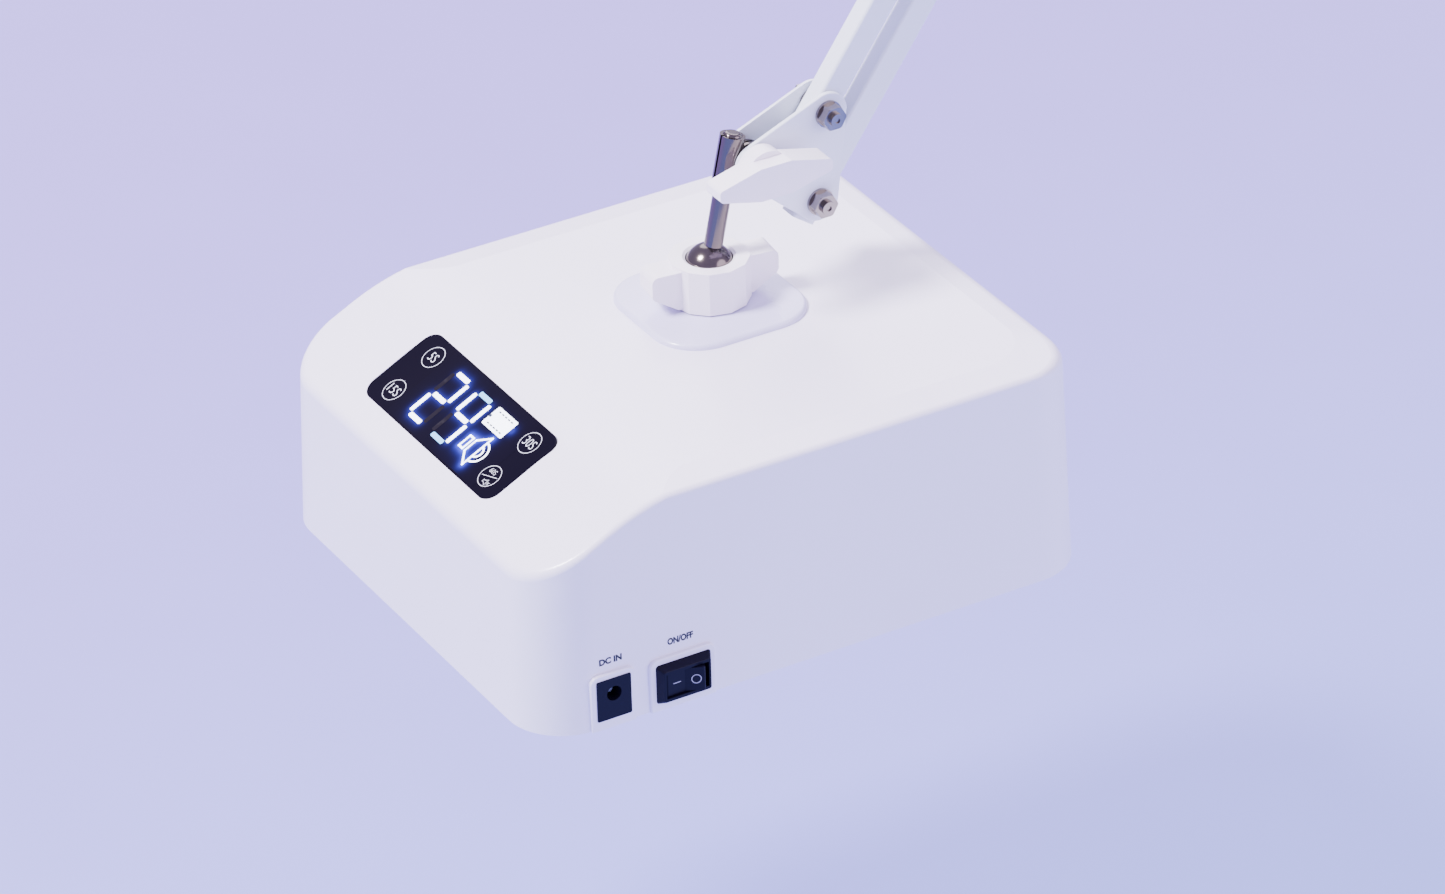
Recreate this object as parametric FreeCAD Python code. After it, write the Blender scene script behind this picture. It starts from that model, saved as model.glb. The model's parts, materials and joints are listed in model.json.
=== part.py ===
import FreeCAD, Part
import math
import os

from FreeCAD import Placement, Rotation, Vector

# Cordless nail-curing lamp on a two-link swing arm with a desk clamp. Millimetres, +Z up.
# The lamp is drawn about the middle of its own footprint: +X is the side with the switch, -Y is the
# front with the display. save() then moves every piece so that the row's origin lies in the middle
# of the clamp's upper jaw face, where the desk top touches it.

os.makedirs("parts", exist_ok=True)

# ---------------------------------------------------------------- driving dimensions
# Lamp housing
BODY_W = 185.0            # width in X at the bottom edge
BODY_L = 217.0            # length in Y at the bottom edge
BODY_H = 81.7             # height of the flat top
DRAFT_X = 0.022           # inward lean of the long sides, mm per mm of height
DRAFT_Y = 0.030           # inward lean of the ends
CORNER_R = 21.0           # vertical corners, in plan
WALL = 2.6
FRONT_H = 58.7            # height of the front wall, where the display slope starts
SLOPE_TOP_Y = -61.0       # where the slope's plane meets the flat top's plane
SLOPE_BLEND_R = 85.0      # large radius between slope and top
SIDE_EDGE_R = 2.0         # rounding of the top edge along the sides
FRONT_EDGE_R = 5.0        # along the front
BACK_EDGE_R = 6.0         # along the back
BAND_W = 12.0             # sloping band round the flat top
BAND_DROP = 1.8
BOSS_PLACES = [(x, y) for x in (-80.0, 80.0) for y in (-92.0, 0.0, 92.0)]
BOSS_R = 3.5
SCREW_SHAFT_R = 1.4
# Display window, in the slope
WINDOW_W = 89.0
WINDOW_H = 32.8
WINDOW_T = 1.5
WINDOW_R = 5.5
WINDOW_X = -4.6
WINDOW_Y = -82.0
WINDOW_GAP = 0.1
MODULE_T = 4.0
KEY_PLACES = [(u, v) for u in (-33.0, 33.0) for v in (-7.5, 7.5)]      # touch springs under the window
# Switch and inlet, on the +X side
SWITCH_Y = -54.0
SWITCH_Z = 10.3
SWITCH_W = 21.0
SWITCH_H = 15.0
JACK_Y = -80.5
JACK_Z = 11.25
JACK_W = 13.0
JACK_H = 15.5
PAD_PROUD = 1.0           # raised pads around them
SWITCH_PROUD = 3.0        # bezel above its pad
SWITCH_BEVEL = 1.6        # lean of the bezel's sides
JACK_PROUD = 0.3          # inlet's face above its pad
ROCKER_HALF = 7.0         # half length of the rocker
ROCKER_PIVOT = 1.5        # pivot below the pad's face
ROCKER_TILT = 11.0        # to each side of its middle position
# Reflector tray under the lamp
TRAY_MOUTH = (150.0, 186.0)
TRAY_ROOF = (120.0, 152.0)
TRAY_Z0 = 4.0
TRAY_Z1 = 46.0
TRAY_T = 1.2
BOARD_T = 1.6
# Cells above the tray
CELL_R = 9.2
CELL_L = 65.0
CELL_X = -9.5
CELL_YS = (44.0, 63.2, 82.4)
# Ball joint on top
PLATE_XY = (-9.3, 18.0)
PLATE_SIZE = 57.5
PLATE_R = 17.0
PLATE_TOP = 83.6
ARM_X = -9.5              # the plane that holds the ball, the brackets and the bars
BALL = Vector(ARM_X, 18.3, 95.5)
BALL_R = 8.8
ROD_R = 3.25
ROD_TILT = 12.4           # degrees from upright, towards +Y
ROD_LENGTH = 50.0         # ball centre to the rod's top
NUT_Z0 = 84.1
NUT_Z1 = 100.0
NUT_R = 14.0
NUT_SPAN = 47.0           # tip to tip over the wings
NUT_TURN = -6.0           # the wings point a little towards +X at the back
NUT_BORE_R = 12.0
HUB_STEM_R = 5.0
HUB_R = 11.6
SOCKET_SPHERE_R = 10.56
SEAT_R = 10.5
# Arm
HEAD_TOP = (62.6, 144.5)      # pivot of the upper bar in the head bracket, as (y, z)
HEAD_LOW = (58.6, 111.8)      # pivot of the lower bar
HEAD_TILT = (34.2, 133.0)     # tilt bolt
FOREARM_LENGTH = 296.0
FOREARM_ANGLE = 54.8          # degrees above level, towards +Y
REAR_LENGTH = 360.0
REAR_ANGLE = 110.0            # from the base up to the elbow, from +Y
ELBOW_STEP = (26.0, 9.4)      # lower forearm pivot to front rear-arm pivot
REAR_SPACING = 32.0           # between the two rear bars, level
BAR_W = 8.0
BAR_H = 10.0
BAR_WALL = 1.0
BAR_END = 9.0                 # beyond each pivot
PLATE_GAP = 9.5               # between the two plates of a bracket
PLATE_T = 1.5
BRACKET_R = 7.6
BOLT_R = 2.5
PIVOT_CLEARANCE = 0.06        # radial, bar on bolt
OPEN_CLEARANCE = 0.4          # radial, at the pivots where the bar loops are opened
SPRING_R = 4.5
SPRING_SIDE = 12.0            # spring axis from the arm's plane
SPRING_REACH = 130.0          # along the bar, from its pivot to the spring pin
# Rod clamp
SHELL_R = 4.45
SHELL_LOW = 28.0              # along the rod from the ball centre
SHELL_HIGH = 49.0
SHELL_SLIT = 0.5              # half the gap between the two shells
EAR_T = 1.2
# Base and desk clamp
BASE_PIN_R = 5.5
BUSH_R = 8.0
SOCKET_R = 11.0
SOCKET_H = 30.0
JAW_T = 6.0
JAW_HALF_W = 17.0
THROAT = 62.0
SCREW_R = 4.0
PAD_GAP = 30.0                # jaw to pad as drawn

# ---------------------------------------------------------------- worked out from them


def step(start, angle, length):
    """Point (y, z) at a distance from start along an angle above +Y."""
    turn = math.radians(angle)
    return (start[0] + length * math.cos(turn), start[1] + length * math.sin(turn))


ELBOW_TOP = step(HEAD_TOP, FOREARM_ANGLE, FOREARM_LENGTH)
ELBOW_LOW = step(HEAD_LOW, FOREARM_ANGLE, FOREARM_LENGTH)
ELBOW_FRONT = (ELBOW_LOW[0] + ELBOW_STEP[0], ELBOW_LOW[1] + ELBOW_STEP[1])
ELBOW_REAR = (ELBOW_FRONT[0] + REAR_SPACING, ELBOW_FRONT[1])
BASE_FRONT = step(ELBOW_FRONT, REAR_ANGLE, -REAR_LENGTH)
BASE_REAR = step(ELBOW_REAR, REAR_ANGLE, -REAR_LENGTH)
BASE_Y = (BASE_FRONT[0] + BASE_REAR[0]) / 2
BASE_Z = BASE_FRONT[1]
COLLAR_Z = BASE_Z - 52.0                       # underside of the base post's collar
JAW_TOP = COLLAR_Z - 0.3 - SOCKET_H
DESK_Z = JAW_TOP - JAW_T
ORIGIN = Vector(ARM_X, BASE_Y, DESK_Z)
SCREW_Y = BASE_Y - 16.0
TRAY_TOP = TRAY_Z1 + 0.2
ELBOW_SPRING = (ELBOW_TOP[0] - 9.0, ELBOW_TOP[1] + 15.0)      # ear on the elbow plates
BASE_SPRING = (BASE_FRONT[0] - 14.0, BASE_FRONT[1] + 6.0)     # ear on the base plates
FOREARM_PIN = step(ELBOW_TOP, FOREARM_ANGLE, -SPRING_REACH)
REAR_PIN = step(BASE_FRONT, REAR_ANGLE, SPRING_REACH)
PLATE_OUT = PLATE_GAP / 2 + PLATE_T            # outer face of a bracket plate, from the arm's plane
FRONT_Y = -BODY_L / 2 + DRAFT_Y * FRONT_H
SLOPE_ANGLE = math.degrees(math.atan2(BODY_H - FRONT_H, SLOPE_TOP_Y - FRONT_Y))
WINDOW_Z = FRONT_H + (WINDOW_Y - FRONT_Y) * math.tan(math.radians(SLOPE_ANGLE))
ROD_AXIS = Vector(0, math.sin(math.radians(ROD_TILT)), math.cos(math.radians(ROD_TILT)))
X_AXIS = Vector(1, 0, 0)
Y_AXIS = Vector(0, 1, 0)
Z_AXIS = Vector(0, 0, 1)
UPRIGHT = Rotation(Y_AXIS, Z_AXIS, X_AXIS, "ZXY")      # turns a sketch's X, Y into the row's Y, Z


# ---------------------------------------------------------------- helpers
def save(name, shape):
    """Write one piece, or a group of like pieces, in the row's frame."""
    moved = shape.copy()
    moved.translate(-ORIGIN)
    moved.exportStep("parts/" + name + ".step")
    print(name, round(moved.Volume), moved.isValid(), len(moved.Solids))


def block(x0, x1, y0, y1, z0, z1):
    """Box between two corners."""
    return Part.makeBox(x1 - x0, y1 - y0, z1 - z0, Vector(x0, y0, z0))


def rod(start, end, radius):
    """Round bar between two points."""
    along = end - start
    return Part.makeCylinder(radius, along.Length, start, along)


def tube(start, end, outer, inner):
    """Round tube between two points."""
    return rod(start, end, outer).cut(rod(start, end, inner))


def across(point, x0, x1, radius):
    """Round bar along X through the (y, z) point of the arm, from x0 to x1 off the arm's plane."""
    return rod(Vector(ARM_X + x0, point[0], point[1]), Vector(ARM_X + x1, point[0], point[1]), radius)


def ring_across(point, x0, x1, outer, inner):
    """Washer or sleeve along X."""
    return across(point, x0, x1, outer).cut(across(point, x0, x1, inner))


def hexagon_across(point, x0, x1, flats):
    """Hexagonal nut blank along X."""
    radius = flats / math.sqrt(3)
    corners = [Vector(ARM_X + x0, *step(point, 60 * i, radius)) for i in range(7)]
    return Part.Face(Part.makePolygon(corners)).extrude(Vector(x1 - x0, 0, 0))


def rounded_outline(points, radius):
    """Closed wire in the XY plane: the convex ring of points grown by radius, corners round."""
    count = len(points)
    corners = [Vector(p[0], p[1], 0) for p in points]
    normals = []
    for i in range(count):
        along = corners[(i + 1) % count] - corners[i]
        along.normalize()
        normals.append(Vector(along.y, -along.x, 0))
    edges = []
    for i in range(count):
        before = normals[i - 1]
        after = normals[i]
        middle = before + after
        middle.normalize()
        arc_end = corners[i] + after * radius
        arc_start = corners[i] + before * radius
        edges.append(Part.Arc(arc_start, corners[i] + middle * radius, arc_end).toShape())
        edges.append(Part.LineSegment(arc_end, corners[(i + 1) % count] + after * radius).toShape())
    return Part.Wire(edges)


def rounded_rectangle(width, length, radius, z=0.0):
    """Wire of a rounded rectangle about the Z axis at height z."""
    half_w = width / 2 - radius
    half_l = length / 2 - radius
    corners = [(-half_w, -half_l), (half_w, -half_l), (half_w, half_l), (-half_w, half_l)]
    wire = rounded_outline(corners, radius)
    wire.translate(Vector(0, 0, z))
    return wire


def rounded_block(width, length, radius, z0, z1):
    """Upright prism on a rounded rectangle about the Z axis."""
    return Part.Face(rounded_rectangle(width, length, radius, z0)).extrude(Vector(0, 0, z1 - z0))


def at(shape, x, y, z=0.0):
    """The shape moved by x, y, z."""
    moved = shape.copy()
    moved.translate(Vector(x, y, z))
    return moved


def plate_across(points, radius, x0, x1):
    """Flat plate along the arm's plane, round the (y, z) points."""
    face = Part.Face(rounded_outline(points, radius))
    face.Placement = Placement(Vector(ARM_X + x0, 0, 0), UPRIGHT)
    return face.extrude(Vector(x1 - x0, 0, 0))


def on_slope(shape):
    """Move a shape drawn about the origin, +Z outwards, to the middle of the display window."""
    placed = shape.copy()
    placed.Placement = Placement(Vector(WINDOW_X, WINDOW_Y, WINDOW_Z), Rotation(X_AXIS, SLOPE_ANGLE))
    return placed


def wall_x(z):
    """Outer face of the +X side at height z."""
    return BODY_W / 2 - DRAFT_X * z


# ---------------------------------------------------------------- lamp housing
def side_profile(inset):
    """Solid under the display slope and the flat top, wider than the lamp, lowered by inset."""
    reach = 150.0
    slope = math.radians(SLOPE_ANGLE)
    top = BODY_H - inset
    meet_y = SLOPE_TOP_Y + inset * math.tan(slope / 2)
    radius = SLOPE_BLEND_R - inset
    tangent = radius * math.tan(slope / 2)
    slope_end = Vector(0, meet_y - tangent * math.cos(slope), top - tangent * math.sin(slope))
    top_start = Vector(0, meet_y + tangent, top)
    centre = top_start - Vector(0, 0, radius)
    blend_mid = centre + Vector(0, -math.sin(slope / 2), math.cos(slope / 2)) * radius
    front = Vector(0, -reach, slope_end.z - (slope_end.y + reach) * math.tan(slope))
    back = Vector(0, reach, top)
    floor_back = Vector(0, reach, -20)
    floor_front = Vector(0, -reach, -20)
    edges = [
        Part.LineSegment(floor_front, front).toShape(),
        Part.LineSegment(front, slope_end).toShape(),
        Part.Arc(slope_end, blend_mid, top_start).toShape(),
        Part.LineSegment(top_start, back).toShape(),
        Part.LineSegment(back, floor_back).toShape(),
        Part.LineSegment(floor_back, floor_front).toShape(),
    ]
    return at(Part.Face(Part.Wire(edges)).extrude(Vector(2 * reach, 0, 0)), -reach, 0)


def tapered_block(inset, z0, z1):
    """Prism with the housing's drafted walls and round corners, inset all round."""
    rings = []
    for z in (z0, z1):
        width = BODY_W - 2 * (DRAFT_X * z + inset)
        length = BODY_L - 2 * (DRAFT_Y * z + inset)
        rings.append(rounded_rectangle(width, length, CORNER_R - inset, z))
    return Part.makeLoft(rings, True, True)


def housing_body(inset, z0):
    """The housing's filled shape from z0 up, inset by a wall thickness."""
    return tapered_block(inset, z0, 100.0).common(side_profile(inset))


def side_pad(y, z, width, height):
    """Raised pad on the +X wall: round top corners, open down to the bottom edge."""
    top = z + height / 2
    outer = wall_x(0) + PAD_PROUD
    pad = block(outer - 3.0, outer, y - width / 2, y + width / 2, 0.0, top)
    upper_corners = [e for e in pad.Edges if e.BoundBox.YLength < 0.01 and e.BoundBox.ZLength < 0.01
                     and e.BoundBox.ZMax > top - 0.01]
    pad = pad.makeFillet(3.0, upper_corners)
    rim = [e for e in pad.Edges if e.BoundBox.XMin > outer - 0.01 and e.BoundBox.ZMax > 1.0]
    return pad.makeFillet(0.6, rim)


def top_band():
    """Solid whose top slopes down from the flat top to the sides and the back, open to the front."""
    rings = []
    for share in (-2.0, 1.0):
        width = BODY_W - 2 * (DRAFT_X * BODY_H + BAND_W * share)
        back = BODY_L / 2 - DRAFT_Y * BODY_H - BAND_W * share
        z = BODY_H - BAND_DROP * (1.0 - share)
        ring = rounded_rectangle(width, back + 200.0, CORNER_R - DRAFT_X * BODY_H, z)
        rings.append(at(ring, 0, (back - 200.0) / 2))
    low = rings[0].BoundBox.ZMin
    return Part.makeLoft(rings, True, True).fuse(block(-150, 150, -150, 150, -20, low))


def rim_radii(edge):
    """Radii at both ends of a top edge, or nothing for an edge that isn't rounded."""
    radii = []
    for vertex in (edge.firstVertex(), edge.lastVertex()):
        if vertex.Y < FRONT_Y + 1.0:
            radii.append(FRONT_EDGE_R)
        elif vertex.Y > BODY_L / 2 - DRAFT_Y * BODY_H - 1.0:
            radii.append(BACK_EDGE_R)
        else:
            radii.append(SIDE_EDGE_R)
    return tuple(radii)


def round_top(solid):
    """The top edge rounded: softly along the front and the back, tightly along the sides."""
    document = FreeCAD.newDocument("rounding")
    base = document.addObject("Part::Feature", "base")
    base.Shape = solid
    fillet = document.addObject("Part::Fillet", "fillet")
    fillet.Base = base
    numbered = enumerate(solid.Edges, 1)
    fillet.Edges = [(number, *rim_radii(edge)) for number, edge in numbered if is_rim(edge)]
    document.recompute()
    return fillet.Shape.copy()


def is_rim(edge):
    """True for an edge between the housing's walls and its top."""
    box = edge.BoundBox
    if box.ZMin < 20.0:
        return False
    middle = edge.valueAt((edge.FirstParameter + edge.LastParameter) / 2)
    gap_x = BODY_W / 2 - DRAFT_X * middle.z - abs(middle.x)
    gap_y = BODY_L / 2 - DRAFT_Y * middle.z - abs(middle.y)
    corner = CORNER_R * (1 - math.sqrt(0.5)) + 0.5
    return min(gap_x, gap_y) < 0.1 or (gap_x < corner and gap_y < corner)


def make_housing():
    outer = housing_body(0.0, 0.0).common(top_band())
    outer = round_top(outer)
    under_top = at(outer, 0, 0, -0.6)
    shell = outer.cut(housing_body(WALL, -1.0).common(at(top_band(), 0, 0, -WALL)))
    for x, y in BOSS_PLACES:
        boss = rod(Vector(x, y, TRAY_Z0), Vector(x, y, 95), BOSS_R).common(under_top)
        shell = shell.fuse(boss)
        shell = shell.cut(rod(Vector(x, y, 0), Vector(x, y, TRAY_Z0 + 10), SCREW_SHAFT_R))
    shell = shell.fuse(side_pad(SWITCH_Y, SWITCH_Z, SWITCH_W + 4.0, SWITCH_H + 4.0))
    shell = shell.fuse(side_pad(JACK_Y, JACK_Z, JACK_W + 4.0, JACK_H + 4.0))
    recess = rounded_block(WINDOW_W, WINDOW_H, WINDOW_R, -WINDOW_T - WINDOW_GAP, 5.0)
    opening = rounded_block(WINDOW_W - 6.0, WINDOW_H - 6.0, WINDOW_R - 2.0, -10.0, 0.0)
    shell = shell.cut(on_slope(recess)).cut(on_slope(opening))
    shell = shell.cut(block(60, 110, SWITCH_Y - 9.6, SWITCH_Y + 9.6, SWITCH_Z - 6.4, SWITCH_Z + 6.4))
    shell = shell.cut(block(60, 110, JACK_Y - 5.6, JACK_Y + 5.6, JACK_Z - 6.4, JACK_Z + 6.4))
    shell = shell.cut(rod(Vector(BALL.x, BALL.y, 60), Vector(BALL.x, BALL.y, 100), HUB_STEM_R))
    save("housing", shell)


def make_bottom_frame():
    frame = tapered_block(WALL + 0.1, 2.0, TRAY_Z0)
    frame = frame.cut(rounded_block(TRAY_MOUTH[0] - 2, TRAY_MOUTH[1] - 2, 9.0, 0.0, 10.0))
    screws = []
    for x, y in BOSS_PLACES:
        frame = frame.cut(rod(Vector(x, y, 0), Vector(x, y, 10), SCREW_SHAFT_R))
        head = rod(Vector(x, y, 0.8), Vector(x, y, 2.0), 2.9)
        slot = block(x - 1.6, x + 1.6, y - 0.35, y + 0.35, 0.8, 1.4)
        slot = slot.fuse(block(x - 0.35, x + 0.35, y - 1.6, y + 1.6, 0.8, 1.4))
        screws.append(head.cut(slot).fuse(rod(Vector(x, y, 2.0), Vector(x, y, TRAY_Z0 + 9), SCREW_SHAFT_R)))
    save("bottom_frame", frame)
    save("housing_screws", Part.makeCompound(screws))


# ---------------------------------------------------------------- light source
def tray_ring(grow, z):
    """Outline of the reflector tray at height z, grown outwards."""
    share = (z - TRAY_Z0) / (TRAY_Z1 - TRAY_Z0)
    width = TRAY_MOUTH[0] + (TRAY_ROOF[0] - TRAY_MOUTH[0]) * share
    length = TRAY_MOUTH[1] + (TRAY_ROOF[1] - TRAY_MOUTH[1]) * share
    return rounded_rectangle(width + 2 * grow, length + 2 * grow, 10.0 + grow, z)


def make_reflector_tray():
    outer = Part.makeLoft([tray_ring(0.0, TRAY_Z0), tray_ring(0.0, TRAY_Z1)], True, True)
    rings = [tray_ring(-TRAY_T, TRAY_Z0 - 0.01), tray_ring(-TRAY_T, TRAY_Z1 - TRAY_T)]
    inner = Part.makeLoft(rings, True, True)
    save("reflector_tray", outer.cut(inner))


def bead(x, y, z):
    """Square light-emitting bead with a domed lens, facing down."""
    body = block(x - 2.5, x + 2.5, y - 2.5, y + 2.5, z - 1.2, z)
    lens = Part.makeSphere(2.2, Vector(x, y, z - 0.2))
    return body.fuse(lens.common(block(x - 3, x + 3, y - 3, y + 3, z - 3, z - 0.5)))


def side_board_place(turn):
    """Placement that carries a board drawn face down onto one slanted wall of the tray."""
    axis = 0 if turn in (0, 180) else 1
    lean = math.degrees(math.atan2(TRAY_Z1 - TRAY_Z0, (TRAY_MOUTH[axis] - TRAY_ROOF[axis]) / 2))
    half = (TRAY_MOUTH[axis] + TRAY_ROOF[axis]) / 4 - TRAY_T - 0.2
    tilt = Rotation(Y_AXIS, lean)
    place = Placement(Vector(half, 0, (TRAY_Z0 + TRAY_Z1) / 2), tilt)
    return Placement(Vector(0, 0, 0), Rotation(Z_AXIS, turn)).multiply(place)


def make_light_source():
    roof_z = TRAY_Z1 - TRAY_T - BOARD_T
    beads = [bead(x, y, roof_z) for x in (-40, -13.5, 13.5, 40) for y in (-60, -36, -12, 12, 36, 60)]
    boards = [rounded_block(108.0, 140.0, 4.0, roof_z, TRAY_Z1 - TRAY_T)]
    for turn in (0, 90, 180, 270):
        place = side_board_place(turn)
        length = 132.0 if turn in (0, 180) else 100.0
        side = rounded_block(20.0, length, 2.0, -BOARD_T, 0.0)
        side.Placement = place
        boards.append(side)
        count = 5 if turn in (0, 180) else 4
        for i in range(count):
            piece = bead(0.0, (i - (count - 1) / 2) * length / count, -BOARD_T)
            piece.Placement = place
            beads.append(piece)
    save("led_boards", Part.makeCompound(boards))
    save("led_beads", Part.makeCompound(beads))


# ---------------------------------------------------------------- display, controls and power

def make_display():
    under = -WINDOW_T - WINDOW_GAP
    window = rounded_block(WINDOW_W - 0.3, WINDOW_H - 0.3, WINDOW_R - 0.15, under, -WINDOW_GAP)
    save("display_window", on_slope(window))
    module = rounded_block(48.0, 24.0, 1.5, under - MODULE_T, under - 0.05)
    save("display_module", on_slope(module))
    board_top = under - MODULE_T - 0.1
    board = rounded_block(80.0, 25.0, 2.0, board_top - BOARD_T, board_top)
    save("display_board", on_slope(board))
    springs = []
    for u, v in KEY_PLACES:
        coil = tube(Vector(u, v, board_top), Vector(u, v, under - 0.6), 3.0, 2.4)
        cap = rod(Vector(u, v, under - 0.6), Vector(u, v, under - 0.05), 3.0)
        springs.append(on_slope(coil.fuse(cap)))
    save("touch_springs", Part.makeCompound(springs))


def make_switch():
    face = wall_x(0) + PAD_PROUD
    foot = rounded_rectangle(SWITCH_W, SWITCH_H, 1.2)
    lip = rounded_rectangle(SWITCH_W - 2 * SWITCH_BEVEL, SWITCH_H - 2 * SWITCH_BEVEL, 0.8, SWITCH_PROUD)
    bezel = Part.makeLoft([foot, lip], True, True)
    front_rim = [e for e in bezel.Edges if e.BoundBox.ZMin > SWITCH_PROUD - 0.01]
    bezel = bezel.makeFillet(0.3, front_rim)
    bezel.Placement = Placement(Vector(face, SWITCH_Y, SWITCH_Z), UPRIGHT)
    body = block(face - 14.0, face, SWITCH_Y - 9.5, SWITCH_Y + 9.5, SWITCH_Z - 6.2, SWITCH_Z + 6.2)
    pocket = block(face - 11.0, face + 5, SWITCH_Y - 8.1, SWITCH_Y + 8.1, SWITCH_Z - 4.7, SWITCH_Z + 4.7)
    pivot_x = face - ROCKER_PIVOT
    pin_low = Vector(pivot_x, SWITCH_Y, SWITCH_Z - 6.0)
    pin_hole = rod(pin_low, pin_low + Z_AXIS * 12.0, 1.28)
    frame = bezel.fuse(body).cut(pocket).cut(pin_hole)
    save("switch_frame", frame)
    terminals = []
    for offset in (-5.0, 5.0):
        terminals.append(block(face - 18.4, face - 14.0, SWITCH_Y + offset - 0.4, SWITCH_Y + offset + 0.4,
                               SWITCH_Z - 2.4, SWITCH_Z + 2.4))
    save("switch_terminals", Part.makeCompound(terminals))
    # neutral rocker: two faces that rise from the middle to the ends, seen along Z
    points = [(-6.5, -3.5), (-3.0, -ROCKER_HALF), (5.0, -ROCKER_HALF), (3.5, 0.0),
              (5.0, ROCKER_HALF), (-3.0, ROCKER_HALF), (-6.5, 3.5)]
    wire = Part.makePolygon([Vector(x, y, -4.4) for x, y in points + points[:1]])
    rocker = Part.Face(wire).extrude(Vector(0, 0, 8.8))
    ends = [e for e in rocker.Edges if e.BoundBox.XMin > 4.9 and e.BoundBox.ZLength > 5.0]
    rocker = rocker.makeFillet(0.7, ends)
    rocker = rocker.fuse(rod(Vector(0, 0, -5.8), Vector(0, 0, 5.8), 1.2))
    rocker.Placement = Placement(Vector(pivot_x, SWITCH_Y, SWITCH_Z), Rotation(Z_AXIS, -ROCKER_TILT))
    save("rocker", rocker)


def make_jack():
    face = wall_x(0) + PAD_PROUD
    outer = face + JACK_PROUD
    front = block(face, outer, JACK_Y - JACK_W / 2, JACK_Y + JACK_W / 2,
                  JACK_Z - JACK_H / 2, JACK_Z + JACK_H / 2)
    corners = [e for e in front.Edges if e.BoundBox.XLength > 0.2 and e.BoundBox.YLength < 0.01]
    front = front.makeFillet(0.6, corners)
    body = block(face - 13.0, face, JACK_Y - 5.5, JACK_Y + 5.5, JACK_Z - 6.2, JACK_Z + 6.2)
    hole_z = JACK_Z + 1.8
    bore = rod(Vector(outer - 9.5, JACK_Y, hole_z), Vector(outer + 1, JACK_Y, hole_z), 2.75)
    seat = rod(Vector(outer - 12.5, JACK_Y, hole_z), Vector(outer, JACK_Y, hole_z), 1.05)
    save("dc_jack", front.fuse(body).cut(bore).cut(seat))
    pin = rod(Vector(outer - 12.5, JACK_Y, hole_z), Vector(outer - 3.0, JACK_Y, hole_z), 1.05)
    save("jack_pin", pin)


def make_power():
    cell_z = TRAY_TOP + 1.4 + CELL_R
    x0 = CELL_X - CELL_L / 2
    x1 = CELL_X + CELL_L / 2
    holder = block(x0 - 3, x1 + 3, CELL_YS[0] - 11, CELL_YS[2] + 11, TRAY_TOP, TRAY_TOP + 9.0)
    cells = []
    for y in CELL_YS:
        holder = holder.cut(rod(Vector(x0, y, cell_z), Vector(x1, y, cell_z), CELL_R + 0.1))
        holder = holder.cut(block(x0, x1, y - 5, y + 5, cell_z - CELL_R, cell_z + CELL_R))
        can = rod(Vector(x0 + 1.2, y, cell_z), Vector(x1 - 1.8, y, cell_z), CELL_R)
        can = can.fuse(rod(Vector(x1 - 1.8, y, cell_z), Vector(x1 - 0.6, y, cell_z), 3.0))
        cells.append(can)
    save("battery_holder", holder)
    save("battery_cells", Part.makeCompound(cells))
    guard = block(-72.0, -48.0, 45.0, 82.0, TRAY_TOP, TRAY_TOP + BOARD_T)
    save("protection_board", guard)
    board = block(-20.0, 55.0, -58.0, -4.0, TRAY_TOP + 2.0, TRAY_TOP + 2.0 + BOARD_T)
    posts = [(x, y) for x in (-16.0, 51.0) for y in (-54.0, -8.0)]
    for x, y in posts:
        board = board.cut(rod(Vector(x, y, 40), Vector(x, y, 60), 1.25))
    save("control_board", board)
    standoffs = []
    for x, y in posts:
        stud = rod(Vector(x, y, TRAY_TOP), Vector(x, y, TRAY_TOP + 2.0), 2.6)
        stud = stud.fuse(rod(Vector(x, y, TRAY_TOP + 2.0), Vector(x, y, TRAY_TOP + 3.6), 1.25))
        standoffs.append(stud.fuse(rod(Vector(x, y, TRAY_TOP + 3.6), Vector(x, y, TRAY_TOP + 5.0), 2.3)))
    save("board_standoffs", Part.makeCompound(standoffs))
    top = TRAY_TOP + 2.0 + BOARD_T
    sounder = rod(Vector(35, -20, top), Vector(35, -20, top + 6.5), 6.0)
    save("buzzer", sounder.cut(rod(Vector(35, -20, top + 5.5), Vector(35, -20, top + 7), 1.2)))


# ---------------------------------------------------------------- ball joint
def make_mount():
    plate = at(rounded_block(PLATE_SIZE, PLATE_SIZE, PLATE_R, BODY_H, PLATE_TOP), *PLATE_XY)
    rim = [e for e in plate.Edges if e.BoundBox.ZMin > PLATE_TOP - 0.01]
    plate = plate.makeFillet(1.4, rim)
    stem_low = Vector(BALL.x, BALL.y, 68.0)
    stem_top = Vector(BALL.x, BALL.y, PLATE_TOP)
    save("mount_plate", plate.cut(rod(stem_low, stem_top + Z_AXIS, HUB_STEM_R)))
    hub_top = Vector(BALL.x, BALL.y, BALL.z + 1.4)
    hub = rod(stem_top, hub_top, HUB_R).fuse(rod(stem_low, stem_top, HUB_STEM_R))
    hub = hub.cut(Part.makeSphere(SOCKET_SPHERE_R, BALL))
    hub = hub.cut(rod(BALL, hub_top + Z_AXIS, SOCKET_SPHERE_R))
    save("ball_hub", hub)
    hexagon = rounded_outline([step((BALL.x, BALL.y), 60 * i, 9.2) for i in range(6)], 0.4)
    nut = at(Part.Face(hexagon).extrude(Vector(0, 0, 5.0)), 0, 0, BODY_H - WALL - 6.0)
    washer_top = Vector(BALL.x, BALL.y, BODY_H - WALL)
    washer = tube(washer_top - Z_AXIS, washer_top, 11.0, HUB_STEM_R)
    save("hub_nut", Part.makeCompound([nut.cut(rod(stem_low, stem_top, HUB_STEM_R)), washer]))


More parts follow.
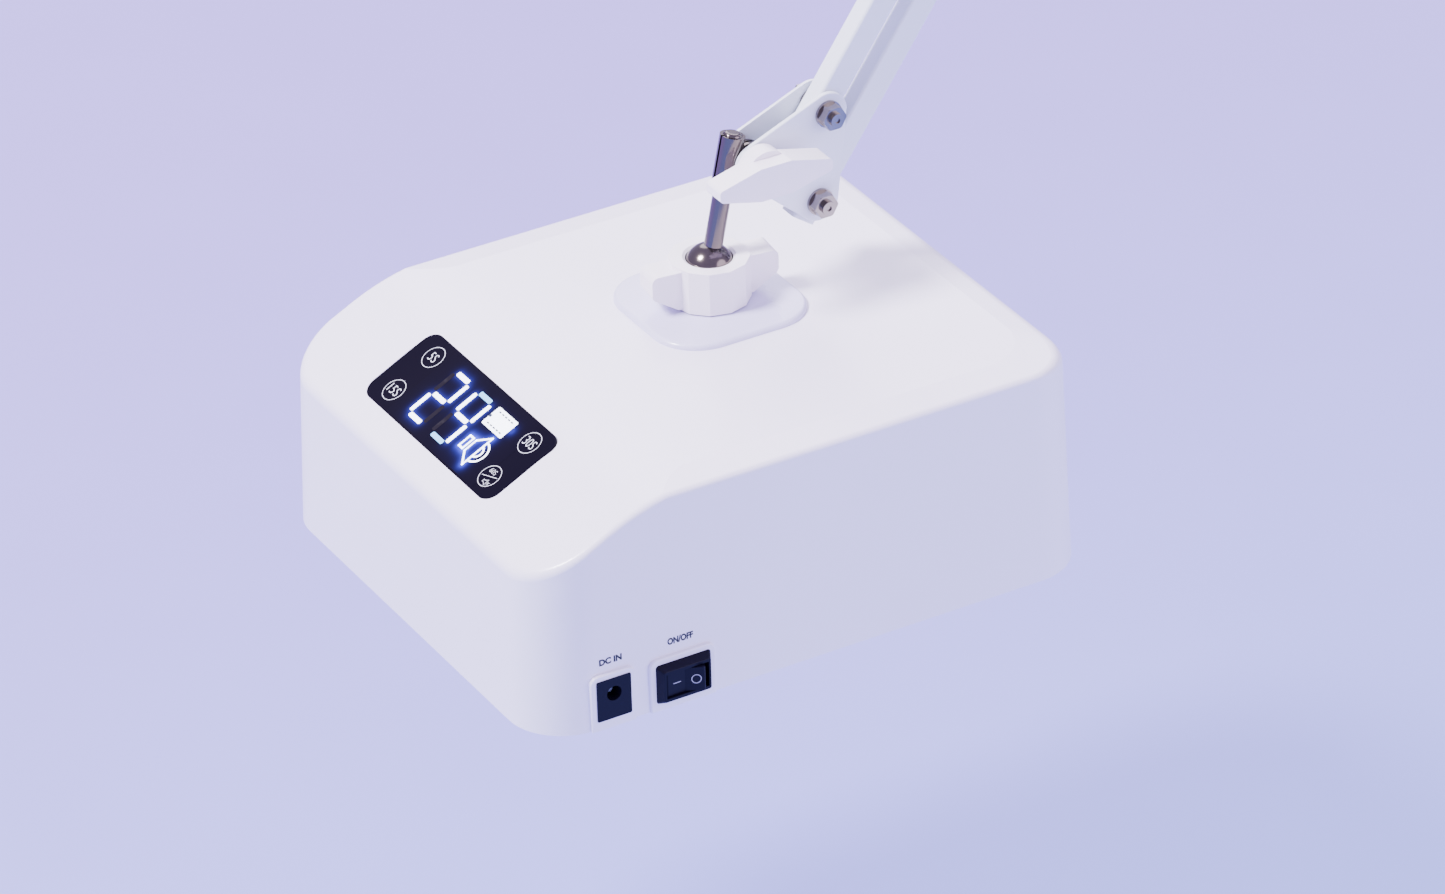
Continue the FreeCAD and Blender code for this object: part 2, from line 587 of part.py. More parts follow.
def make_ball():
    seat = Part.makeSphere(SEAT_R, BALL).cut(Part.makeSphere(BALL_R + 0.05, BALL))
    keep = block(BALL.x - 12, BALL.x + 12, BALL.y - 12, BALL.y + 12, BALL.z - 9.2, BALL.z - 2.6)
    seat = seat.common(keep)
    save("ball_seat", seat)
    top = BALL + ROD_AXIS * ROD_LENGTH
    shaft = rod(BALL, top, ROD_R)
    end_edge = [e for e in shaft.Edges if e.BoundBox.ZMin > BALL.z + 40 and e.Length > 10]
    shaft = shaft.makeFillet(1.2, end_edge)
    save("ball_rod", Part.makeSphere(BALL_R, BALL).fuse(shaft))


def make_clamp_nut():
    low = Vector(BALL.x, BALL.y, NUT_Z0)
    high = Vector(BALL.x, BALL.y, NUT_Z1)
    body = rod(low, high, NUT_R + 0.3)
    facets = rounded_outline([step((0, 0), 30 * i, 13.9) for i in range(12)], 0.25)
    body = body.common(at(Part.Face(facets).extrude(Vector(0, 0, 40)), BALL.x, BALL.y, 75))
    half = NUT_SPAN / 2
    height = NUT_Z1 - NUT_Z0
    wing = [Vector(0, -half, height - 1.0), Vector(0, -half, height * 0.42), Vector(0, -NUT_R, 0.6),
            Vector(0, NUT_R, 0.6), Vector(0, half, height * 0.42), Vector(0, half, height - 1.0)]
    wings = Part.Face(Part.makePolygon(wing + wing[:1])).extrude(Vector(10.5, 0, 0))
    wings = at(wings, -5.25, 0)
    tips = [e for e in wings.Edges if e.BoundBox.XLength > 5 and abs(e.BoundBox.YMin) > 20]
    wings = wings.makeFillet(2.4, tips)
    wings.Placement = Placement(low, Rotation(Z_AXIS, NUT_TURN))
    nut = body.fuse(wings)
    nut = nut.cut(rod(low - Z_AXIS, Vector(BALL.x, BALL.y, BALL.z + 2.0), NUT_BORE_R))
    lip = Part.makeCone(8.1, 9.4, NUT_Z1 - BALL.z - 3.6, Vector(BALL.x, BALL.y, BALL.z + 3.7), Z_AXIS)
    nut = nut.cut(Part.makeSphere(BALL_R + 0.3, BALL)).cut(lip)
    save("ball_clamp_nut", nut)


# ---------------------------------------------------------------- rod clamp and head bracket
def along_rod(distance):
    """Point on the rod's axis at a distance from the ball's centre."""
    return BALL + ROD_AXIS * distance


def make_rod_clamp():
    sides = {"left": -1, "right": 1}
    for side, sign in sides.items():
        shell = tube(along_rod(SHELL_LOW), along_rod(SHELL_HIGH), SHELL_R, ROD_R + 0.03)
        keep = block(ARM_X + min(SHELL_SLIT * sign, 20 * sign), ARM_X + max(SHELL_SLIT * sign, 20 * sign),
                     -20, 80, 90, 180)
        shell = shell.common(keep)
        low = along_rod(SHELL_LOW + 5.5)
        high = along_rod(SHELL_HIGH - 4.5)
        x0, x1 = sorted((SHELL_SLIT * sign, (SHELL_SLIT + EAR_T) * sign))
        reach = Vector(0, math.cos(math.radians(ROD_TILT)), -math.sin(math.radians(ROD_TILT))) * (ROD_R + 0.6)
        low = low + reach
        high = high + reach
        ear = plate_across([(high.y, high.z), (low.y, low.z), HEAD_TILT], 0.4, x0, x1)
        ear = ear.fuse(across(HEAD_TILT, x0, x1, 6.2)).cut(across(HEAD_TILT, x0, x1, 3.0))
        ear = ear.cut(rod(along_rod(20), along_rod(60), ROD_R + 0.6))
        save("rod_clamp_" + side, shell.fuse(ear).removeSplitter())
    spacers = []
    for sign in sides.values():
        x0, x1 = sorted(((SHELL_SLIT + EAR_T) * sign, (PLATE_GAP / 2 - 0.05) * sign))
        spacer = ring_across(HEAD_TILT, x0, x1, 5.0, 3.0)
        spacers.append(spacer.cut(rod(along_rod(20), along_rod(60), SHELL_R + 0.05)))
    save("tilt_spacers", Part.makeCompound(spacers))


def make_tilt_bolt():
    head = across(HEAD_TILT, -PLATE_OUT - 3.4, -PLATE_OUT - 0.1, 6.0)
    rim = [e for e in head.Edges if e.BoundBox.XMax < ARM_X - PLATE_OUT - 3.0 and e.Length > 10]
    head = head.makeFillet(2.2, rim)
    shaft = across(HEAD_TILT, -PLATE_OUT - 0.1, PLATE_OUT + 9.0, 2.94)
    washer = ring_across(HEAD_TILT, PLATE_OUT, PLATE_OUT + 1.0, 6.5, 3.0)
    save("tilt_bolt", Part.makeCompound([head.fuse(shaft), washer]))
    x0 = PLATE_OUT + 1.1
    hub = across(HEAD_TILT, x0, x0 + 6.5, 8.4)
    y, z = HEAD_TILT
    half = 22.0
    outline = [(-half, -2.1), (-6.0, -6.2), (6.0, -6.2), (half, -2.1), (half, 2.1), (6.0, 6.2), (-6.0, 6.2),
               (-half, 2.1)]
    wire = Part.makePolygon([Vector(ARM_X + x0 + 3.2, y + a, z + b) for a, b in outline + outline[:1]])
    wings = Part.Face(wire).extrude(Vector(9.4, 0, 0))
    tips = [e for e in wings.Edges if e.BoundBox.XLength > 5 and abs(e.BoundBox.Center.y - y) > 20]
    wings = wings.makeFillet(1.6, tips)
    knob = hub.fuse(wings).cut(across(HEAD_TILT, x0 - 1, x0 + 8.2, 3.0))
    save("tilt_knob", knob)


def pivot_fasteners(points, prefix, pins):
    """A bracket's pivot bolts with its spring pins, and the nuts with their washers and spacers."""
    bolts = list(pins)
    nuts = []
    out = PLATE_OUT
    for point in points:
        head = hexagon_across(point, -out - 1.0 - 3.5, -out - 1.0, 8.0)
        shaft = across(point, -out - 1.0, out + 1.0 + 4.0 + 1.6, BOLT_R)
        dimple = across(point, out + 6.0, out + 7.0, 1.0)
        bolts.append(head.fuse(shaft).cut(dimple))
        blank = hexagon_across(point, out + 1.0, out + 5.0, 8.0)
        nuts.append(blank.common(chamfer_cone(point, out)).cut(across(point, out, out + 6, BOLT_R)))
        for sign in (-1, 1):
            x0, x1 = sorted((out * sign, (out + 1.0) * sign))
            nuts.append(ring_across(point, x0, x1, 4.9, BOLT_R))
            x0, x1 = sorted(((PLATE_GAP / 2) * sign, (BAR_W / 2 + 0.15) * sign))
            nuts.append(ring_across(point, x0, x1, 4.6, BOLT_R))
    save(prefix + "_bolts", Part.makeCompound(bolts))
    save(prefix + "_nuts", Part.makeCompound(nuts))


def chamfer_cone(point, out):
    """Double cone that takes the corners off a nut."""
    base = Vector(ARM_X + out + 1.0, point[0], point[1])
    return Part.makeCone(4.3, 5.6, 1.0, base, X_AXIS).fuse(
        Part.makeCylinder(5.6, 2.0, base + X_AXIS, X_AXIS)).fuse(
        Part.makeCone(5.6, 4.3, 1.0, base + X_AXIS * 3.0, X_AXIS))


def bracket_plates(outline, radius, holes):
    """The two equal plates of a bracket, left and right, with softened outer edges."""
    plates = []
    for sign in (-1, 1):
        x0, x1 = sorted((PLATE_GAP / 2 * sign, PLATE_OUT * sign))
        plate = plate_across(outline, radius, x0, x1)
        outside = ARM_X + PLATE_OUT * sign
        rim = [e for e in plate.Edges if e.BoundBox.XLength < 0.01 and abs(e.BoundBox.XMin - outside) < 0.01]
        plate = plate.makeFillet(0.45, rim)
        for point, hole in holes:
            plate = plate.cut(across(point, x0 - 1, x1 + 1, hole))
        plates.append(plate)
    return plates


# ---------------------------------------------------------------- arm
def bar(start, end, clearances):
    """Square-edged tube between two pivots, with a hole at each."""
    along = Vector(0, end[0] - start[0], end[1] - start[1])
    length = along.Length
    outer = block(-BAR_W / 2, BAR_W / 2, -BAR_END, length + BAR_END, -BAR_H / 2, BAR_H / 2)
    long_edges = [e for e in outer.Edges if e.BoundBox.YLength > 20]
    outer = outer.makeFillet(1.2, long_edges)
    inner = block(-BAR_W / 2 + BAR_WALL, BAR_W / 2 - BAR_WALL, -BAR_END - 1, length + BAR_END + 1,
                  -BAR_H / 2 + BAR_WALL, BAR_H / 2 - BAR_WALL)
    piece = outer.cut(inner)
    for y, clearance in zip((0.0, length), clearances):
        piece = piece.cut(rod(Vector(-10, y, 0), Vector(10, y, 0), BOLT_R + clearance))
    lift = math.degrees(math.atan2(along.z, along.y))
    piece.Placement = Placement(Vector(ARM_X, start[0], start[1]), Rotation(X_AXIS, lift))
    return piece


def spring_pair(start, end):
    """Two closed coils beside the bars, with straight tails that reach the pins."""
    coils = []
    for sign in (-1, 1):
        a = Vector(ARM_X + sign * SPRING_SIDE, start[0], start[1])
        b = Vector(ARM_X + sign * SPRING_SIDE, end[0], end[1])
        along = b - a
        along.normalize()
        coil = rod(a + along * 14, b - along * 14, SPRING_R)
        for pin, inward in ((a, along), (b, -along)):
            coil = coil.fuse(rod(pin + inward * 1.6, pin + inward * 14, 0.6))
        coils.append(coil)
    return Part.makeCompound(coils)


def spring_pins(point, inner):
    """Grooved pins that stand out on both sides for the spring hooks."""
    pins = []
    for sign in (-1, 1):
        x0, x1 = sorted((inner * sign, (SPRING_SIDE + 5.0) * sign))
        pin = across(point, x0, x1, 2.2)
        g0, g1 = sorted(((SPRING_SIDE - 1.5) * sign, (SPRING_SIDE + 1.5) * sign))
        pins.append(pin.cut(ring_across(point, g0, g1, 3.0, 1.5)))
    return pins


def make_arm():
    save("forearm_bar_upper", bar(HEAD_TOP, ELBOW_TOP, (PIVOT_CLEARANCE, PIVOT_CLEARANCE)))
    save("forearm_bar_lower", bar(HEAD_LOW, ELBOW_LOW, (OPEN_CLEARANCE, PIVOT_CLEARANCE)))
    save("rear_bar_front", bar(BASE_FRONT, ELBOW_FRONT, (PIVOT_CLEARANCE, PIVOT_CLEARANCE)))
    save("rear_bar_back", bar(BASE_REAR, ELBOW_REAR, (PIVOT_CLEARANCE, OPEN_CLEARANCE)))
    save("forearm_springs", spring_pair(ELBOW_SPRING, FOREARM_PIN))
    save("rear_springs", spring_pair(BASE_SPRING, REAR_PIN))
    save("forearm_spring_pins", Part.makeCompound(spring_pins(FOREARM_PIN, BAR_W / 2)))
    save("rear_spring_pins", Part.makeCompound(spring_pins(REAR_PIN, BAR_W / 2)))


def make_brackets():
    head_points = [HEAD_LOW, HEAD_TOP, HEAD_TILT]
    head_holes = [(HEAD_TILT, 3.0), (HEAD_LOW, BOLT_R), (HEAD_TOP, BOLT_R)]
    left, right = bracket_plates(head_points, BRACKET_R, head_holes)
    save("head_plate_left", left)
    save("head_plate_right", right)
    pivot_fasteners([HEAD_TOP, HEAD_LOW], "head", [])
    elbow = [ELBOW_LOW, ELBOW_REAR, ELBOW_SPRING]
    elbow_holes = [(p, BOLT_R) for p in (ELBOW_TOP, ELBOW_LOW, ELBOW_FRONT, ELBOW_REAR)]
    save("elbow_plates", Part.makeCompound(bracket_plates(elbow, BRACKET_R, elbow_holes)))
    elbow_pins = spring_pins(ELBOW_SPRING, PLATE_OUT)
    pivot_fasteners([ELBOW_TOP, ELBOW_LOW, ELBOW_FRONT, ELBOW_REAR], "elbow", elbow_pins)
    base = [(BASE_Y, BASE_Z - 36.0), BASE_REAR, BASE_SPRING]
    post_bolts = [(BASE_Y, BASE_Z - 22.0), (BASE_Y, BASE_Z - 36.0)]
    base_holes = [(p, BOLT_R) for p in [BASE_FRONT, BASE_REAR] + post_bolts]
    save("base_plates", Part.makeCompound(bracket_plates(base, BRACKET_R, base_holes)))
    pivot_fasteners([BASE_FRONT, BASE_REAR], "base", spring_pins(BASE_SPRING, PLATE_OUT))
    half_gap = PLATE_GAP / 2
    tongue = block(ARM_X - half_gap, ARM_X + half_gap, BASE_Y - 7, BASE_Y + 7, BASE_Z - 46, BASE_Z - 15)
    pin_top = Vector(ARM_X, BASE_Y, COLLAR_Z)
    post = tongue.fuse(rod(pin_top, pin_top + Z_AXIS * 6.5, 10.0))
    post = post.fuse(rod(pin_top - Z_AXIS * (SOCKET_H + 2.0), pin_top, BASE_PIN_R))
    for point in post_bolts:
        post = post.cut(across(point, -20, 20, BOLT_R))
    save("base_post", post)
    rivets = []
    for point in post_bolts:
        shaft = across(point, -PLATE_OUT, PLATE_OUT, BOLT_R)
        for sign in (-1, 1):
            x0, x1 = sorted((PLATE_OUT * sign, (PLATE_OUT + 2.0) * sign))
            shaft = shaft.fuse(across(point, x0, x1, 4.4))
        rivets.append(shaft)
    save("post_rivets", Part.makeCompound(rivets))


# ---------------------------------------------------------------- desk clamp
def make_desk_clamp():
    back = BASE_Y + 24.0
    spine = back - JAW_T
    low = DESK_Z - THROAT
    x0 = ARM_X - JAW_HALF_W
    x1 = ARM_X + JAW_HALF_W
    jaw = block(x0, x1, BASE_Y - 44.0, back, DESK_Z, JAW_TOP)
    arm = block(x0, x1, SCREW_Y - 14.0, back, low - JAW_T, low)
    frame = jaw.fuse(block(x0, x1, spine, back, low - JAW_T, JAW_TOP)).fuse(arm).removeSplitter()
    outer_bends = [e for e in frame.Edges if e.BoundBox.XLength > 30 and e.BoundBox.YMin > back - 0.01]
    frame = frame.makeFillet(5.0, outer_bends)
    tips = [e for e in frame.Edges if e.BoundBox.XLength < 0.01 and e.BoundBox.YLength < 0.01
            and abs(e.BoundBox.ZLength - JAW_T) < 0.01]
    frame = frame.makeFillet(6.0, tips)
    socket = rod(Vector(ARM_X, BASE_Y, JAW_TOP), Vector(ARM_X, BASE_Y, JAW_TOP + SOCKET_H), SOCKET_R)
    boss = rod(Vector(ARM_X, SCREW_Y, low - JAW_T - 8), Vector(ARM_X, SCREW_Y, low), 9.0)
    frame = frame.fuse(socket).fuse(boss)
    frame = frame.cut(rod(Vector(ARM_X, BASE_Y, JAW_TOP - 4), Vector(ARM_X, BASE_Y, 0), BUSH_R))
    frame = frame.cut(rod(Vector(ARM_X, SCREW_Y, low - 20), Vector(ARM_X, SCREW_Y, low + 1), SCREW_R + 0.05))
    screw_z = JAW_TOP + SOCKET_H / 2
    frame = frame.cut(rod(Vector(ARM_X, BASE_Y + 6, screw_z), Vector(ARM_X, BASE_Y + 20, screw_z), 3.0))
    save("clamp_frame", frame)
    bush_low = Vector(ARM_X, BASE_Y, JAW_TOP - 4)
    bush_top = Vector(ARM_X, BASE_Y, JAW_TOP + SOCKET_H)
    bush = tube(bush_low, bush_top, BUSH_R, BASE_PIN_R + 0.05)
    save("socket_bush", bush)
    stem = rod(Vector(ARM_X, BASE_Y + BUSH_R, screw_z), Vector(ARM_X, BASE_Y + 20, screw_z), 3.0)
    grip = rod(Vector(ARM_X, BASE_Y + 15, screw_z), Vector(ARM_X, BASE_Y + 25, screw_z), 8.0)
    grip = grip.makeFillet(1.0, [e for e in grip.Edges if e.Length > 30])
    save("socket_screw", stem.fuse(grip))


def make_clamp_screw():
    low = DESK_Z - THROAT
    pad_top = DESK_Z - PAD_GAP
    pad = rod(Vector(ARM_X, SCREW_Y, pad_top - 4), Vector(ARM_X, SCREW_Y, pad_top - 1.5), 13.0)
    pad = pad.fuse(rod(Vector(ARM_X, SCREW_Y, pad_top - 9), Vector(ARM_X, SCREW_Y, pad_top - 4), 7.0))
    pad = pad.cut(rod(Vector(ARM_X, SCREW_Y, pad_top - 9), Vector(ARM_X, SCREW_Y, pad_top - 5), SCREW_R))
    save("clamp_pad", pad)
    save("pad_rubber", rod(Vector(ARM_X, SCREW_Y, pad_top - 1.5), Vector(ARM_X, SCREW_Y, pad_top), 13.0))
    screw_low = low - JAW_T - 46.0
    screw = rod(Vector(ARM_X, SCREW_Y, screw_low), Vector(ARM_X, SCREW_Y, pad_top - 5), SCREW_R)
    hub = rod(Vector(ARM_X, SCREW_Y, screw_low - 12), Vector(ARM_X, SCREW_Y, screw_low + 4), 8.0)
    hub = hub.makeFillet(1.0, [e for e in hub.Edges if e.Length > 30])
    hub_z = screw_low - 5.0
    hub = hub.cut(rod(Vector(ARM_X - 20, SCREW_Y, hub_z), Vector(ARM_X + 20, SCREW_Y, hub_z), 2.5))
    save("clamp_screw", screw.fuse(hub))
    handle = rod(Vector(ARM_X - 32, SCREW_Y, hub_z), Vector(ARM_X + 32, SCREW_Y, hub_z), 2.5)
    for sign in (-1, 1):
        handle = handle.fuse(Part.makeSphere(4.2, Vector(ARM_X + 32 * sign, SCREW_Y, hub_z)))
    save("tommy_bar", handle)


make_housing()
make_bottom_frame()
make_reflector_tray()
make_light_source()
make_display()
make_switch()
make_jack()
make_power()
make_mount()
make_ball()
make_clamp_nut()
make_rod_clamp()
make_tilt_bolt()
make_arm()
make_brackets()
make_desk_clamp()
make_clamp_screw()
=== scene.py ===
import json
import logging
import math
from dataclasses import dataclass
from enum import Enum
from typing import Sequence

import bmesh
import bpy
from mathutils import Matrix, Vector


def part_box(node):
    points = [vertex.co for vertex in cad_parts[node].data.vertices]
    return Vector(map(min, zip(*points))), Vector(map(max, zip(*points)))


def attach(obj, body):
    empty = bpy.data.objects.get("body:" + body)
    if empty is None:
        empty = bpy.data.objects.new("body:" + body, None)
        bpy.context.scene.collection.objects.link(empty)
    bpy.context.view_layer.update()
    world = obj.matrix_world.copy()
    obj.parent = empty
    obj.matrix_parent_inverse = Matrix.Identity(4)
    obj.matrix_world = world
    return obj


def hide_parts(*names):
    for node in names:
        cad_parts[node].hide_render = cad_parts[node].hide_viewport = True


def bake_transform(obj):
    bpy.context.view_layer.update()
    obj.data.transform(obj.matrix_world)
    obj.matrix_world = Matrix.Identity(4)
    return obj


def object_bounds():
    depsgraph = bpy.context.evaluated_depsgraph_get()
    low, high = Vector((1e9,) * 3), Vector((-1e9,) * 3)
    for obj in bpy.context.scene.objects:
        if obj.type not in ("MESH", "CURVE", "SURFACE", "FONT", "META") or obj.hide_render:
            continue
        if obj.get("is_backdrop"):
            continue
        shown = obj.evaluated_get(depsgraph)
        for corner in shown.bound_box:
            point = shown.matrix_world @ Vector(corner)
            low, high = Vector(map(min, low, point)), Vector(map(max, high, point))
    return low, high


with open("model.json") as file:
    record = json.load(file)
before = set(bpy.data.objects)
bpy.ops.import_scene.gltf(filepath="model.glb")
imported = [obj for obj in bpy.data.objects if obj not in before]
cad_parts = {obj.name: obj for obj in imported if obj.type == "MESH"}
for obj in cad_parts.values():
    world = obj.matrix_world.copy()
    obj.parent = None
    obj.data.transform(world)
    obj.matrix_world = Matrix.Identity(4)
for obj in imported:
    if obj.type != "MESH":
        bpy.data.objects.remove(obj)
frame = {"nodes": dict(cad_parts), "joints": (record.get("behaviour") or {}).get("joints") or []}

# Looks of a cordless nail-curing lamp on a swing arm. Metres, +Z up, in the row's frame.

MM = 0.001
SMOOTH_ANGLE = math.radians(32.0)

log = logging.getLogger("nail_lamp")
Colour = tuple[float, float, float]
Point2 = tuple[float, float]
Line2 = tuple[Point2, Point2]
Tree = bpy.types.NodeTree
Socket = bpy.types.NodeSocket


# ---------------------------------------------------------------- finishes
class Grain(Enum):
    """Kinds of fine surface texture."""

    SMOOTH = "smooth"
    MOULDED = "moulded"
    PAINTED = "painted"
    BRUSHED = "brushed"
    RUBBER = "rubber"


@dataclass(frozen=True)
class GrainSize:
    """How coarse one kind of texture is, how high it stands and how much it varies the tone."""

    scale: float
    stretch: tuple[float, float, float]
    height: float
    tone: float
    gloss_change: float


DUST_COLOUR = (0.62, 0.61, 0.60, 1.0)
COAT_ROUGHNESS = 0.08
DEPTH_TINT = (0.6, 0.6, 0.8)
DEPTH_SCALE = 0.002
RELIEF_DEPTH = 0.0002

GRAINS: dict[Grain, GrainSize] = {
    Grain.SMOOTH: GrainSize(90.0, (1.0, 1.0, 1.0), 0.004, 0.006, 0.02),
    Grain.MOULDED: GrainSize(900.0, (1.0, 1.0, 1.0), 0.035, 0.012, 0.05),
    Grain.PAINTED: GrainSize(420.0, (1.0, 1.0, 1.0), 0.06, 0.015, 0.06),
    Grain.BRUSHED: GrainSize(260.0, (1.0, 14.0, 14.0), 0.05, 0.06, 0.10),
    Grain.RUBBER: GrainSize(1300.0, (1.0, 1.0, 1.0), 0.25, 0.10, 0.08),
}


class Effects:
    """Shared node groups: fine grain, settled dust and handling marks."""

    def __init__(self) -> None:
        """Make the groups once."""
        self.grain = self._grain_group()
        self.dust = self._dust_group()
        self.smudge = self._smudge_group()

    @staticmethod
    def _new_group(name: str, inputs: Sequence[tuple[str, str]], outputs: Sequence[str]) -> Tree:
        """Start a shader node group.

        Args:
            name: name of the group.
            inputs: pairs of socket name and socket type.
            outputs: names of value outputs.

        Returns:
            The group with its input and output nodes named In and Out.
        """
        group = bpy.data.node_groups.new(name, "ShaderNodeTree")
        for label, kind in inputs:
            group.interface.new_socket(name=label, in_out="INPUT", socket_type=kind)
        for label in outputs:
            group.interface.new_socket(name=label, in_out="OUTPUT", socket_type="NodeSocketFloat")
        group.nodes.new("NodeGroupInput").name = "In"
        group.nodes.new("NodeGroupOutput").name = "Out"
        return group

    @staticmethod
    def _range(group: Tree, source: Socket, low: float, high: float,
               to_low: float, to_high: float) -> Socket:
        """Map a value from one range to another inside a group."""
        node = group.nodes.new("ShaderNodeMapRange")
        for socket, value in zip(("From Min", "From Max", "To Min", "To Max"), (low, high, to_low, to_high)):
            node.inputs[socket].default_value = value
        group.links.new(source, node.inputs["Value"])
        return node.outputs["Result"]

    def _grain_group(self) -> Tree:
        """Fine noise with an even tone: outputs a height and a tone around zero."""
        group = self._new_group("fine_grain", (("Vector", "NodeSocketVector"), ("Scale", "NodeSocketFloat")),
                                ("Height", "Tone"))
        fine = group.nodes.new("ShaderNodeTexNoise")
        fine.inputs["Detail"].default_value = 3.0
        broad = group.nodes.new("ShaderNodeTexNoise")
        broad.inputs["Scale"].default_value = 14.0
        broad.inputs["Detail"].default_value = 2.0
        entry = group.nodes["In"]
        leave = group.nodes["Out"]
        for node in (fine, broad):
            group.links.new(entry.outputs["Vector"], node.inputs["Vector"])
        group.links.new(entry.outputs["Scale"], fine.inputs["Scale"])
        group.links.new(fine.outputs["Fac"], leave.inputs["Height"])
        group.links.new(self._range(group, broad.outputs["Fac"], 0.3, 0.7, -1.0, 1.0), leave.inputs["Tone"])
        return group

    def _dust_group(self) -> Tree:
        """Thin dust on faces that look up: outputs a mask."""
        vectors = (("Vector", "NodeSocketVector"), ("Normal", "NodeSocketVector"))
        group = self._new_group("settled_dust", vectors, ("Mask",))
        entry = group.nodes["In"]
        split = group.nodes.new("ShaderNodeSeparateXYZ")
        group.links.new(entry.outputs["Normal"], split.inputs["Vector"])
        up = self._range(group, split.outputs["Z"], 0.55, 1.0, 0.0, 1.0)
        specks = group.nodes.new("ShaderNodeTexNoise")
        specks.inputs["Scale"].default_value = 170.0
        specks.inputs["Detail"].default_value = 4.0
        group.links.new(entry.outputs["Vector"], specks.inputs["Vector"])
        spread = self._range(group, specks.outputs["Fac"], 0.50, 0.72, 0.0, 1.0)
        both = group.nodes.new("ShaderNodeMath")
        both.operation = "MULTIPLY"
        group.links.new(up, both.inputs[0])
        group.links.new(spread, both.inputs[1])
        group.links.new(both.outputs["Value"], group.nodes["Out"].inputs["Mask"])
        return group

    def _smudge_group(self) -> Tree:
        """Broad uneven gloss as left by hands: outputs a mask."""
        group = self._new_group("handling_marks", (("Vector", "NodeSocketVector"),), ("Mask",))
        patch = group.nodes.new("ShaderNodeTexNoise")
        patch.inputs["Scale"].default_value = 22.0
        patch.inputs["Detail"].default_value = 5.0
        patch.inputs["Distortion"].default_value = 0.6
        group.links.new(group.nodes["In"].outputs["Vector"], patch.inputs["Vector"])
        group.links.new(self._range(group, patch.outputs["Fac"], 0.45, 0.75, 0.0, 1.0),
                        group.nodes["Out"].inputs["Mask"])
        return group


